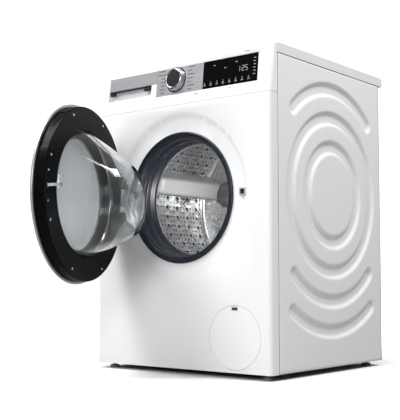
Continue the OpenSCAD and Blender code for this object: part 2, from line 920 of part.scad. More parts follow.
module flap_frame() {
    frame_y0 = front_y + sheet + 0.1;
    color("gray")
        difference() {
            rod_y(flap_x, flap_z, flap_r + flap_gap + wall, frame_y0, flap_frame_y);
            rod_y(flap_x, flap_z, flap_r + flap_gap, frame_y0 - 1, flap_frame_y - wall);
            rod_y(flap_x, pump_z, filter_r + 1, front_y, flap_frame_y + 5);
        }
}

// Push-fit cover with a skirt, three clips and a slot to prise it off
module service_flap() {
    skirt_r = flap_r - 3;
    color("white")
        difference() {
            union() {
                rod_y(flap_x, flap_z, flap_r, front_y, front_y + flap_t);
                ring_y(flap_x, flap_z, skirt_r, skirt_r - wall, front_y + 1, front_y + flap_skirt);
                for (a = [30, 150, 270])
                    translate([flap_x, 0, flap_z])
                        rotate([0, -a, 0])
                            intersection() {
                                block([skirt_r - 4, front_y + 8, -8],
                                    [flap_r + 1, front_y + flap_skirt, 8]);
                                rod_y(0, 0, flap_r + flap_gap - 0.3, front_y, front_y + 30);
                            }
            }
            block([flap_x - 11, front_y - 1, flap_z + flap_r - 14],
                [flap_x + 11, front_y + 1.2, flap_z + flap_r - 2]);
        }
}

// Feet

module foot(x, y) {
    color("dimgray")
        translate([x, y, 0]) {
            cylinder(r1 = foot_r - 1, r2 = foot_r, h = 2);
            translate([0, 0, 2])
                cylinder(r = foot_r, h = foot_pad_h - 2);
            translate([0, 0, foot_pad_h])
                cylinder(r = foot_stem_r + 3, h = 3, $fn = 6);
            cylinder(r = foot_stem_r, h = 55);
        }
}

module foot_front_left() {
    foot(-foot_x, foot_front_y);
}

module foot_front_right() {
    foot(foot_x, foot_front_y);
}

module foot_rear_left() {
    foot(-foot_x, foot_rear_y);
}

module foot_rear_right() {
    foot(foot_x, foot_rear_y);
}

module foot_locknuts() {
    color("silver")
        for (x = [-foot_x, foot_x])
            for (y = [foot_front_y, foot_rear_y])
                translate([x, y, tray_z + 16.2])
                    difference() {
                        cylinder(r = foot_stem_r + 4, h = nut_h, $fn = 6);
                        translate([0, 0, -1])
                            cylinder(r = foot_stem_r + run_gap, h = nut_h + 2);
                    }
}

// Door

module door_trim_ring() {
    inner = window_r - 4;
    color("lightgray")
        on_door()
            turned([[rim_r, rim_y + 3], [rim_r, rim_y - 2], [rim_r - 4, rim_y - 5],
                [rim_r - 20, rim_y - 8], [rim_r - 45, rim_y - 11], [window_r + 8, rim_y - 13],
                [window_r + 0.3, rim_y - 11], [window_r + 0.3, rim_y - 6], [inner, rim_y - 6],
                [inner, rim_y - 3], [window_r + 10, rim_y - 3], [window_r + 10, rim_y - 9],
                [rim_r - 45, rim_y - 8], [rim_r - 20, rim_y - 5], [rim_r - 5, rim_y - 2],
                [rim_r - 5, rim_y + 0], [face_r, rim_y + 0], [face_r, rim_y + 3]], 0, door_z);
}

module door_window() {
    color("silver", 0.5)
        on_door()
            turned([[0, rim_y - 15], [window_r * 0.5, rim_y - 14], [window_r - 6, rim_y - 11.5],
                [window_r, rim_y - 9], [window_r, rim_y - 6.1], [window_r - 6, rim_y - 6.1],
                [window_r - 10, rim_y - 9], [window_r * 0.5, rim_y - 11.5], [0, rim_y - 12.5]],
                0, door_z);
}

module door_inner_ring() {
    inner_wall_y = face_y - 10;
    color("black")
        on_door()
            difference() {
                turned([[face_r, rim_y + 0.1], [face_r, face_y - 2], [face_r - 2, face_y],
                    [glass_r, face_y], [glass_r, bowl_y + 0.2], [bowl_flange_r + 2, bowl_y + 0.2],
                    [bowl_flange_r + 2, inner_wall_y], [bowl_flange_r + 2 + door_wall, inner_wall_y],
                    [bowl_flange_r + 2 + door_wall, face_y - door_wall],
                    [face_r - door_wall, face_y - door_wall], [face_r - door_wall, rim_y + 0.1]],
                    0, door_z);
                block([hinge_x - 40, hinge_y - 9.5, door_z - hinge_half - 4],
                    [hinge_x + 22, face_y + 5, door_z + hinge_half + 4]);
                block([latch_x - 9, face_y - 5, latch_z - 5], [latch_x + 8, face_y + 1, latch_z + 5]);
                at_door_screws()
                    rod_y(0, 0, screw_shank_r + run_gap, face_y - door_wall - 1, face_y + 1);
                grip_cut();
            }
    color("black")
        on_door()
            difference() {
                for (s = [-1, 1])
                    block([latch_x - 6, latch_pivot_y - 4, latch_z + s * 5.3 - 1.5],
                        [latch_x + 6, face_y - door_wall, latch_z + s * 5.3 + 1.5]);
                translate([latch_x, latch_pivot_y, latch_z - 8])
                    cylinder(r = latch_pin_r + run_gap, h = 16);
            }
}

// Finger recess in the side wall of the door
module grip_cut() {
    translate([0, face_y - 12, door_z])
        rotate([-90, 0, 0])
            rotate([0, 0, -60])
                rotate_extrude(angle = 35, $fn = 96)
                    translate([face_r - 2, -14])
                        square([10, 20]);
}

module door_glass_bowl() {
    color("lightcyan", 0.4)
        on_door()
            difference() {
                union() {
                    rod_y(0, door_z, bowl_flange_r, bowl_y - 4, bowl_y);
                    bowl_body(0);
                }
                bowl_body(bowl_wall);
                rod_y(0, door_z, glass_r - 2 - bowl_wall, bowl_y - 5, bowl_y);
            }
}

// Slanted bowl between the glass opening and the dropped nose, shrunk by t
module bowl_body(t) {
    hull() {
        rod_y(0, door_z, glass_r - 2 - t, bowl_y - 0.01, face_y + 2 - t * 0.1);
        rod_y(0, door_z - nose_drop * 0.9, nose_r + 14 - t, face_y + nose_d * 0.86 - t,
            face_y + nose_d * 0.86 - t + 0.1);
        rod_y(0, door_z - nose_drop, nose_r - t, face_y + nose_d - 6 - t, face_y + nose_d - 5 - t);
        rod_y(0, door_z - nose_drop, nose_r - 14 - t, face_y + nose_d - t - 0.1, face_y + nose_d - t);
    }
}

module door_hinge_leaf() {
    color("silver")
        on_door()
            difference() {
                union() {
                    translate([hinge_x, hinge_y, door_z - knuckle_half])
                        cylinder(r = knuckle_r, h = 2 * knuckle_half);
                    block([hinge_x, hinge_y - knuckle_r, door_z - knuckle_half],
                        [hinge_x + 20, hinge_y - knuckle_r + 4, door_z + knuckle_half]);
                    block([hinge_x + 16, hinge_y - knuckle_r, door_z - knuckle_half],
                        [hinge_x + 20, face_y - door_wall - 0.1, door_z + knuckle_half]);
                    block([hinge_x + 16, face_y - door_wall - 3.1, door_z - knuckle_half],
                        [hinge_x + 34, face_y - door_wall - 0.1, door_z + knuckle_half]);
                }
                translate([hinge_x, hinge_y, door_z - hinge_half])
                    cylinder(r = hinge_pin_r + run_gap, h = 2 * hinge_half);
            }
}

// Repeats a piece at each screw around the door's inner face
module at_door_screws() {
    for (a = [-158, -114, -67, -22, -9, 11, 22, 67, 114, 158])
        translate([209 * cos(a), 0, door_z + 209 * sin(a)])
            children();
}

module door_screws() {
    color("silver")
        on_door()
            at_door_screws() {
                rod_y(0, 0, 3.2, face_y, face_y + 1.2);
                rod_y(0, 0, screw_shank_r, face_y - 9, face_y);
            }
}

module door_latch_hook() {
    half = 3.5;
    tip_y = face_y + latch_reach;
    color("silver")
        on_door() {
            translate([latch_x, latch_pivot_y, latch_z - 3.5])
                cylinder(r = 3.6, h = 7);
            translate([latch_x, latch_pivot_y, latch_z - 6.8])
                cylinder(r = latch_pin_r, h = 13.6);
            block([latch_x - half, latch_pivot_y, latch_z - 3.5], [latch_x + half, tip_y, latch_z + 3.5]);
            block([latch_x - half - 3, tip_y - 8, latch_z - 3.5], [latch_x, tip_y, latch_z + 3.5]);
        }
}

// Tub

module tub_front() {
    color("gainsboro")
        difference() {
            union() {
                turned([[tub_mouth_r, collar_y], [tub_mouth_r + 4, collar_y],
                    [tub_mouth_r + 4, tub_y], [tub_r, tub_y + 6], [tub_r, tub_split_y - 0.1],
                    [tub_in_r, tub_split_y - 0.1], [tub_in_r, tub_y + 8],
                    [tub_mouth_r + 6, tub_y + 4], [tub_mouth_r, tub_y + 4]], 0, door_z);
                ring_y(0, door_z, tub_r + 10, tub_r - 1, tub_split_y - 6, tub_split_y - 0.1);
                sump_shell(sump_y0, tub_split_y - 0.1);
                translate([0, sump_port_y, sump_z - 22])
                    cylinder(r = 16, h = 24);
                difference() {
                    translate([dispenser_port_x, dispenser_port_y, door_z])
                        cylinder(r = 16, h = tub_port_top - door_z);
                    rod_y(0, door_z, tub_r - 1, tub_y, tub_split_y);
                }
            }
            sump_hollow(sump_y0 + 4, tub_split_y + 1);
            translate([0, sump_port_y, sump_z - 30])
                cylinder(r = 13, h = 60);
            translate([dispenser_port_x, dispenser_port_y, door_z + 100])
                cylinder(r = 13, h = 200);
        }
}

// Outside of the sump under the tub between y0 and y1
module sump_shell(y0, y1) {
    difference() {
        block([-sump_half_w, y0, sump_z], [sump_half_w, y1, door_z - 200]);
        rod_y(0, door_z, tub_r - 1, y0 - 1, y1 + 1);
    }
}

// Hollow of the sump, open to the tub
module sump_hollow(y0, y1) {
    block([-sump_half_w + 4, y0, sump_z + 4], [sump_half_w - 4, y1, door_z - 200]);
}

module tub_rear() {
    color("gainsboro")
        difference() {
            union() {
                turned([[tub_in_r, tub_split_y + 0.1], [tub_r, tub_split_y + 0.1],
                    [tub_r, tub_back_y], [tub_r - 4, tub_back_y + 4], [0, tub_back_y + 4],
                    [0, tub_back_y], [tub_in_r, tub_back_y]], 0, door_z);
                ring_y(0, door_z, tub_r + 10, tub_r - 1, tub_split_y + 0.1, tub_split_y + 6);
                sump_shell(tub_split_y + 0.1, sump_y1);
                rod_y(0, door_z, housing_r, tub_back_y, housing_y);
                for (a = [0 : 45 : 315])
                    translate([0, 0, door_z])
                        rotate([0, a, 0])
                            block([housing_r - 2, tub_back_y + 3, -2.5],
                                [tub_r - 12, tub_back_y + 22, 2.5]);
                for (s = [-1, 1])
                    spring_lug(s);
            }
            sump_hollow(tub_split_y - 1, sump_y1 - 4);
            rod_y(0, door_z, front_bearing_r, tub_back_y - 1, front_bearing_y + front_bearing_w);
            rod_y(0, door_z, shaft_r + 4, tub_back_y, housing_y);
            rod_y(0, door_z, rear_bearing_r, rear_bearing_y, housing_y + 1);
            for (s = [-1, 1])
                rod_y(s * 24, heater_z, heater_rod_r + 1, sump_y1 - 10, tub_back_y + 20);
        }
}

// Lug that takes the lower hook of a hanger spring
module spring_lug(s) {
    difference() {
        block([s * spring_x - 9, spring_y - 6, lug_z - 30], [s * spring_x + 9, spring_y + 6, lug_z]);
        rod_y(0, door_z, tub_r - 1, spring_y - 10, spring_y + 10);
    }
}

module front_counterweights() {
    color("darkgray")
        for (half = [0, 180])
            translate([0, 0, door_z])
                rotate([-90, 0, 0])
                    rotate([0, 0, half + 22])
                        rotate_extrude(angle = 136, $fn = 128)
                            polygon([[tub_mouth_r + 11, weight_y], [tub_r - 6, weight_y],
                                [tub_r, weight_y + 6], [tub_r, weight_y + weight_t],
                                [tub_mouth_r + 11, weight_y + weight_t]]);
}

module heater() {
    x = 24;
    y0 = sump_y0 + 60;
    color("silver") {
        for (s = [-1, 1])
            rod_y(s * x, heater_z, heater_rod_r, y0, tub_back_y + 2);
        translate([0, y0, heater_z])
            rotate([0, 0, 180])
                rotate_extrude(angle = 180)
                    translate([x, 0])
                        circle(r = heater_rod_r);
        difference() {
            block([-34, sump_y1, heater_z - 8], [34, sump_y1 + 4, heater_z + 8]);
            for (s = [-1, 1])
                rod_y(s * x, heater_z, heater_rod_r, sump_y1 - 1, sump_y1 + 5);
        }
    }
}

module drum_bearings() {
    color("gray") {
        ring_y(0, door_z, front_bearing_r, shaft_r + run_gap, front_bearing_y,
            front_bearing_y + front_bearing_w);
        ring_y(0, door_z, rear_bearing_r, shaft_tail_r + run_gap, rear_bearing_y,
            rear_bearing_y + rear_bearing_w);
        ring_y(0, door_z, front_bearing_r, shaft_r + run_gap, tub_back_y - 1, front_bearing_y - 0.2);
    }
}

module motor_stator() {
    color("dimgray")
        difference() {
            union() {
                rod_y(0, motor_z, motor_r, motor_y, motor_y + motor_len);
                difference() {
                    for (s = [-1, 1])
                        block([s * 48 - 6, tub_back_y - 24, motor_z + 20],
                            [s * 48 + 6, tub_back_y - 6, door_z - 225]);
                    rod_y(0, door_z, tub_r, tub_back_y - 40, tub_back_y + 10);
                    block([-sump_half_w, tub_back_y - 40, sump_z - 0.2],
                        [sump_half_w, sump_y1 + 4.2, door_z]);
                }
            }
            rod_y(0, motor_z, rotor_r + rotor_gap, motor_y + 8, motor_y + motor_len - 8);
            rod_y(0, motor_z, motor_shaft_r + run_gap, motor_y + 2, motor_y + motor_len + 1);
        }
}

module motor_rotor() {
    color("darkorange") {
        rod_y(0, motor_z, motor_shaft_r, motor_y + 3, belt_y + belt_w + 4);
        rod_y(0, motor_z, rotor_r, motor_y + 10, motor_y + motor_len - 10);
        rod_y(0, motor_z, motor_pulley_r, belt_y - 1, belt_y + belt_w + 2);
    }
}

module drive_belt() {
    span = door_z - motor_z;
    lean = asin((pulley_r - motor_pulley_r) / span);
    run = span * cos(lean);
    big = pulley_r + belt_gap;
    small = motor_pulley_r + belt_gap;
    color("black")
        translate([0, belt_y + belt_w, door_z])
            rotate([90, 0, 0]) {
                rotate([0, 0, -lean])
                    rotate_extrude(angle = 180 + 2 * lean, $fn = 128)
                        translate([big, 0])
                            square([belt_t, belt_w]);
                translate([0, -span, 0])
                    rotate([0, 0, 180 + lean])
                        rotate_extrude(angle = 180 - 2 * lean)
                            translate([small, 0])
                                square([belt_t, belt_w]);
                for (s = [-1, 1])
                    rotate([0, 0, -s * lean])
                        translate([s > 0 ? big : -big - belt_t, -run, 0])
                            cube([belt_t, run, belt_w]);
            }
}

module damper_rods() {
    color("silver")
        for (s = [-1, 1])
            difference() {
                union() {
                    translate([s * damper_x, damper_y, 70])
                        cylinder(r = damper_rod_r, h = damper_lug_z0 - 65);
                    block([s * damper_x - damper_lug_half, damper_y - 10, damper_lug_z0],
                        [s * damper_x + damper_lug_half, damper_y + 10, damper_lug_z1]);
                }
                rod_y(0, door_z, tub_r, damper_y - 40, damper_y + 40);
            }
}

module damper_cylinders() {
    color("dimgray")
        for (s = [-1, 1])
            translate([s * damper_x, damper_y, tray_top])
                difference() {
                    cylinder(r = damper_r, h = damper_top - tray_top);
                    translate([0, 0, 20])
                        cylinder(r = damper_rod_r + run_gap, h = damper_top);
                }
}

module hanger_springs() {
    turns = 13;
    steps = 10;
    z0 = lug_z + spring_wire_r + 0.2;
    z1 = top_z - 22 - spring_wire_r - 0.2;
    helix = [for (i = [0 : turns * steps])
        let (a = 360 * i / steps)
        [spring_r * cos(a), spring_r * sin(a), z0 + (z1 - z0) * i / (turns * steps)]];
    color("gray")
        for (s = [-1, 1])
            translate([s * spring_x, spring_y, 0])
                sweep(helix, spring_wire_r, 6, [0, 0, 1]);
}

// Drum

module drum_shell() {
    t = 1;
    color("silver")
        turned([[drum_mouth_r, drum_y - 2], [drum_mouth_r + 4, drum_y - 3],
            [drum_mouth_r + 5, drum_y], [drum_r - 14, drum_y + 10], [drum_r, drum_y + 24],
            [drum_r, drum_back_y], [60, drum_back_y], [50, drum_back_y - 8], [0, drum_back_y - 8],
            [0, drum_back_y - 8 - t], [50 + t, drum_back_y - 8 - t], [60 + t, drum_back_y - t],
            [drum_r - t, drum_back_y - t], [drum_r - t, drum_y + 24 + t],
            [drum_r - 14 - t, drum_y + 10 + 2 * t], [drum_mouth_r, drum_y + 3]], 0, door_z);
}

module drum_paddles() {
    color("lightgray")
        for (a = paddle_angles)
            translate([0, 0, door_z])
                rotate([0, -a, 0])
                    difference() {
                        translate([0, drum_back_y - 1.3, 0])
                            rotate([90, 0, 0])
                                linear_extrude(drum_d - 32)
                                    polygon([[drum_r - paddle_h, -20], [drum_r - paddle_h, 20],
                                        [drum_r - paddle_h + 6, 25], [drum_r + 8, 40],
                                        [drum_r + 8, -40], [drum_r - paddle_h + 6, -25]]);
                        ring_y(0, 0, drum_r + 40, drum_r - 1.05, drum_y, drum_back_y + 5);
                    }
}

module drum_spider() {
    arm_y = drum_back_y + 20;
    color("silver") {
        difference() {
            rod_y(0, door_z, 47, drum_back_y - 7.9, drum_back_y - 0.1);
            rod_y(0, door_z, 46, drum_back_y - 7.9, drum_back_y - 7.8);
        }
        rod_y(0, door_z, 34, drum_back_y - 1, arm_y + 4);
        rod_y(0, door_z, shaft_r, arm_y, shaft_step_y);
        rod_y(0, door_z, shaft_tail_r, arm_y, belt_y + belt_w + 2);
        for (a = [90, 210, 330])
            translate([0, 0, door_z])
                rotate([0, -a, 0])
                    block([20, drum_back_y + 0.1, -14], [drum_r - 6, arm_y - 2, 14]);
    }
}

module drum_pulley() {
    color("silver")
        difference() {
            union() {
                ring_y(0, door_z, pulley_r, pulley_r - 8, belt_y - 1, belt_y + belt_w + 1);
                rod_y(0, door_z, 26, belt_y - 1, belt_y + belt_w + 1);
                for (a = [0 : 60 : 300])
                    translate([0, 0, door_z])
                        rotate([0, a, 0])
                            block([20, belt_y + 3, -7], [pulley_r - 6, belt_y + 9, 7]);
            }
            rod_y(0, door_z, shaft_tail_r, belt_y - 5, belt_y + belt_w + 2);
        }
    color("dimgray")
        translate([0, belt_y + belt_w + 2, door_z])
            rotate([-90, 0, 0])
                cylinder(r = 15, h = 7, $fn = 6);
}

base_tray();
side_panel_left();
side_panel_right();
rear_panel();
rear_cover();
front_panel();
worktop();
top_braces();
control_fascia();
dial_panel();
display_window();
control_board();
dispenser_housing();
inlet_valve();
water_hoses();
drain_pump();
sump_hose();
drain_hose();
drain_outlet();
mains_gland();
door_lock();
lock_bezel();
door_gasket();
hinge_bracket();
hinge_pin();
flap_frame();
transit_caps();
foot_locknuts();
damper_cylinders();
service_flap();
pump_filter();
foot_front_left();
foot_front_right();
foot_rear_left();
foot_rear_right();
door_trim_ring();
door_window();
door_inner_ring();
door_glass_bowl();
door_hinge_leaf();
door_screws();
door_latch_hook();
drawer_front();
drawer_grip_plate();
drawer_tray();
dial_ring();
tub_front();
tub_rear();
front_counterweights();
heater();
drum_bearings();
motor_stator();
damper_rods();
hanger_springs();
drive_belt();
drum_shell();
drum_paddles();
drum_spider();
drum_pulley();
motor_rotor();
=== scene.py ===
"""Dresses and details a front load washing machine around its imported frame."""

import json
import logging
import math
from dataclasses import dataclass
from enum import Enum
from typing import Callable, Sequence

import bmesh
import bpy
import numpy as np
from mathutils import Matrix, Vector

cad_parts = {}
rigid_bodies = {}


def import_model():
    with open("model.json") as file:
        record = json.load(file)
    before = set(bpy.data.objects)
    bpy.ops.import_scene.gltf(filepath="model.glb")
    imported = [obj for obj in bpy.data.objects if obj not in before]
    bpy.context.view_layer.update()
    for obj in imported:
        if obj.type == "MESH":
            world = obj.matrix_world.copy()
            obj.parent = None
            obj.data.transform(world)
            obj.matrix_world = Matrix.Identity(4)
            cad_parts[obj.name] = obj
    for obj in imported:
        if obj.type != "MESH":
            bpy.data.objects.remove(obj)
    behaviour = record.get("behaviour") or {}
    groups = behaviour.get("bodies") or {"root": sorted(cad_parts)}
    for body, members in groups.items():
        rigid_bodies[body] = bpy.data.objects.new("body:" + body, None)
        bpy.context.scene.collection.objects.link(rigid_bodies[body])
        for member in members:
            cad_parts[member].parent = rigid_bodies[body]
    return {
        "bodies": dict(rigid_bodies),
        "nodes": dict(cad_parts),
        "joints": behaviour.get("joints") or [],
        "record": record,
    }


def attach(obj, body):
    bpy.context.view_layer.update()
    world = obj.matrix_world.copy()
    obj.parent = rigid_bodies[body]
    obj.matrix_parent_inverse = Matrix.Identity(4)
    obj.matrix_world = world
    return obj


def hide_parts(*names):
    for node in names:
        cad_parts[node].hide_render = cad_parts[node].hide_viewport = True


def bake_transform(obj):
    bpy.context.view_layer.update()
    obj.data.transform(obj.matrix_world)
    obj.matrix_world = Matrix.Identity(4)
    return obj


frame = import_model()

Array = np.ndarray
Colour = tuple[float, float, float]

log = logging.getLogger("washing_machine")
MM = 0.001
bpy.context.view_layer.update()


# --------------------------------------------------------------------------- meshes


def fillet(corners: Sequence[Sequence[float]], radius: float, steps: int = 4) -> Array:
    """Rounds a closed outline: each corner becomes a quadratic curve between its two sides.

    The curve is (1-s)^2 a + 2 s (1-s) p + s^2 b, where p is the corner and a and b lie on its
    sides, at most radius away and never past 45% of a side.

    Args:
        corners: Corner points of the outline, in order.
        radius: How far from the corner the curve starts.
        steps: Points on each curve, less one.

    Returns:
        The rounded outline as an array of points.
    """
    p = np.asarray(corners, float)
    before = np.roll(p, 1, axis=0) - p
    after = np.roll(p, -1, axis=0) - p
    len_before = np.linalg.norm(before, axis=1, keepdims=True)
    len_after = np.linalg.norm(after, axis=1, keepdims=True)
    a = p + before * np.minimum(radius / len_before, 0.45)
    b = p + after * np.minimum(radius / len_after, 0.45)
    s = np.linspace(0.0, 1.0, steps + 1)[None, :, None]
    curve = (1 - s) ** 2 * a[:, None] + 2 * s * (1 - s) * p[:, None] + s**2 * b[:, None]
    return curve.reshape(-1, p.shape[1])


def quads_of_grid(rows: int, columns: int, wrap_rows: bool, wrap_columns: bool) -> Array:
    """Faces of a grid of points, each face joining four neighbours.

    Args:
        rows: Number of rows in the grid.
        columns: Number of columns in the grid.
        wrap_rows: Whether the last row joins the first.
        wrap_columns: Whether the last column joins the first.

    Returns:
        An array of four indices for each face.
    """
    i = np.arange(rows if wrap_rows else rows - 1)[:, None]
    j = np.arange(columns if wrap_columns else columns - 1)[None, :]
    i_next, j_next = (i + 1) % rows, (j + 1) % columns
    corners = [i * columns + j, i_next * columns + j, i_next * columns + j_next,
               i * columns + j_next]
    return np.stack([np.broadcast_to(c, (i.size, j.size)) for c in corners], -1).reshape(-1, 4)


def new_object(name: str, points: Array, faces: Array, smooth_deg: float = 35.0) -> bpy.types.Object:
    """Makes an object from points and faces, with doubles merged and normals outwards.

    Args:
        name: Name of the object.
        points: Points in metres, any leading shape.
        faces: Indices of each face's corners.
        smooth_deg: Edges flatter than this are shaded smooth.

    Returns:
        The new object, linked to the scene.
    """
    mesh = bpy.data.meshes.new(name)
    mesh.from_pydata(np.asarray(points).reshape(-1, 3).tolist(), [], np.asarray(faces).tolist())
    obj = bpy.data.objects.new(name, mesh)
    bpy.context.scene.collection.objects.link(obj)
    tidy_mesh(obj, smooth_deg)
    return obj


def tidy_mesh(obj: bpy.types.Object, smooth_deg: float) -> None:
    """Merges doubles, turns normals outwards and shades by angle.

    Args:
        obj: The object whose mesh is cleaned.
        smooth_deg: Edges flatter than this are shaded smooth.
    """
    bm = bmesh.new()
    bm.from_mesh(obj.data)
    bmesh.ops.remove_doubles(bm, verts=bm.verts, dist=1e-6)
    bmesh.ops.dissolve_degenerate(bm, edges=bm.edges, dist=1e-7)
    bmesh.ops.recalc_face_normals(bm, faces=bm.faces)
    bm.to_mesh(obj.data)
    bm.free()
    obj.data.shade_smooth()
    obj.data.set_sharp_from_angle(angle=math.radians(smooth_deg))


def close_ends(grid: Array) -> Array:
    """Closes a tube of rings by adding a ring shrunk to a point at each end.

    Args:
        grid: Rings by points by 3.

    Returns:
        The rings with two more.
    """
    first = np.broadcast_to(grid[0].mean(0), grid[:1].shape)
    last = np.broadcast_to(grid[-1].mean(0), grid[:1].shape)
    return np.concatenate([first, grid, last])


def rounded_path(corners: Array, radius: float, step: float) -> Array:
    """Rounds an open path's inner corners and samples it at even steps.

    Each corner becomes the curve (1-s)^2 a + 2 s (1-s) p + s^2 b between points on its sides;
    the points are then spread by length along the path.

    Args:
        corners: Corner points, of two or three numbers each.
        radius: How far from a corner its curve starts.
        step: Length between samples.

    Returns:
        The sampled path.
    """
    p = np.asarray(corners, float)
    before, after = p[:-2] - p[1:-1], p[2:] - p[1:-1]
    near = np.minimum(radius / np.linalg.norm(before, axis=1, keepdims=True), 0.45)
    far = np.minimum(radius / np.linalg.norm(after, axis=1, keepdims=True), 0.45)
    s = np.linspace(0, 1, 9)[None, :, None]
    curve = ((1 - s) ** 2 * (p[1:-1] + before * near)[:, None]
             + 2 * s * (1 - s) * p[1:-1][:, None] + s**2 * (p[1:-1] + after * far)[:, None])
    dense = np.concatenate([p[:1], curve.reshape(-1, p.shape[1]), p[-1:]])
    length = np.concatenate([[0], np.cumsum(np.linalg.norm(np.diff(dense, axis=0), axis=1))])
    at = np.linspace(0, length[-1], max(int(length[-1] / step), 8) + 1)
    return np.stack([np.interp(at, length, dense[:, k]) for k in range(p.shape[1])], 1)


def tube(path: Array, radius: Array | float, sides: int = 10) -> Array:
    """Rings of a tube: each point is path + radius (u cos a + v sin a), u and v across the path.

    Args:
        path: Points along the middle, n by 3.
        radius: One radius, or one for each point.
        sides: Points around each ring.

    Returns:
        The closed tube's rings, n + 2 by sides by 3.
    """
    tangent = np.gradient(path, axis=0)
    tangent /= np.linalg.norm(tangent, axis=1, keepdims=True)
    least = np.eye(3)[np.argmin(np.abs(tangent).max(0))]
    u = np.cross(tangent, least)
    u /= np.linalg.norm(u, axis=1, keepdims=True)
    v = np.cross(tangent, u)
    a = np.linspace(0, 2 * np.pi, sides, endpoint=False)[None, :, None]
    size = np.broadcast_to(np.asarray(radius, float), (len(path),))[:, None, None]
    return close_ends(path[:, None] + size * (np.cos(a) * u[:, None] + np.sin(a) * v[:, None]))


def turned(name: str, outline: Array, centre: Sequence[float], steps: int = 192,
           place: Callable[[Array], Array] | None = None) -> bpy.types.Object:
    """Turns a closed outline around an axis along Y.

    A point at angle t is centre + (r cos t, y, r sin t), where (r, y) runs along the outline.

    Args:
        name: Name of the object.
        outline: Closed outline of (radius, y) points, in metres.
        centre: A point on the axis; its Y is added to the outline's.
        steps: Number of positions around the axis.
        place: Moves the finished points, such as onto the open door.

    Returns:
        The turned object.
    """
    t = np.linspace(0.0, 2 * np.pi, steps, endpoint=False)[:, None]
    r, y = outline[:, 0][None, :], outline[:, 1][None, :]
    points = np.stack([r * np.cos(t), np.broadcast_to(y, (steps, outline.shape[0])),
                       r * np.sin(t)], -1) + np.asarray(centre, float)
    if place is not None:
        points = place(points)
    return new_object(name, points, quads_of_grid(steps, outline.shape[0], True, True))


def boxes(name: str, centres: Array, halves: Array,
          place: Callable[[Array], Array]) -> bpy.types.Object:
    """Many small boxes as one object: each box is its centre plus its half sizes times (+-1)^3.

    Args:
        name: Name of the object.
        centres: Centre of each box, n by 3.
        halves: Half sizes of each box, n by 3.
        place: Moves the finished points to the row frame.

    Returns:
        The object holding all boxes.
    """
    signs = np.array([[x, y, z] for x in (-1, 1) for y in (-1, 1) for z in (-1, 1)], float)
    sides = np.array([[0, 1, 3, 2], [4, 6, 7, 5], [0, 4, 5, 1], [2, 3, 7, 6], [0, 2, 6, 4],
                      [1, 5, 7, 3]])
    points = centres[:, None, :] + signs[None] * halves[:, None, :]
    faces = sides[None] + 8 * np.arange(len(centres))[:, None, None]
    return new_object(name, place(points), faces.reshape(-1, 4))


# --------------------------------------------------------------------------- shared effects


class Effect(Enum):
    """Shader node groups that more than one finish uses."""

    TONE = "tone_variation"
    PEEL = "orange_peel"
    BRUSH = "brushed_lines"
    EDGE = "edge_wear"
    DUST = "low_dust"


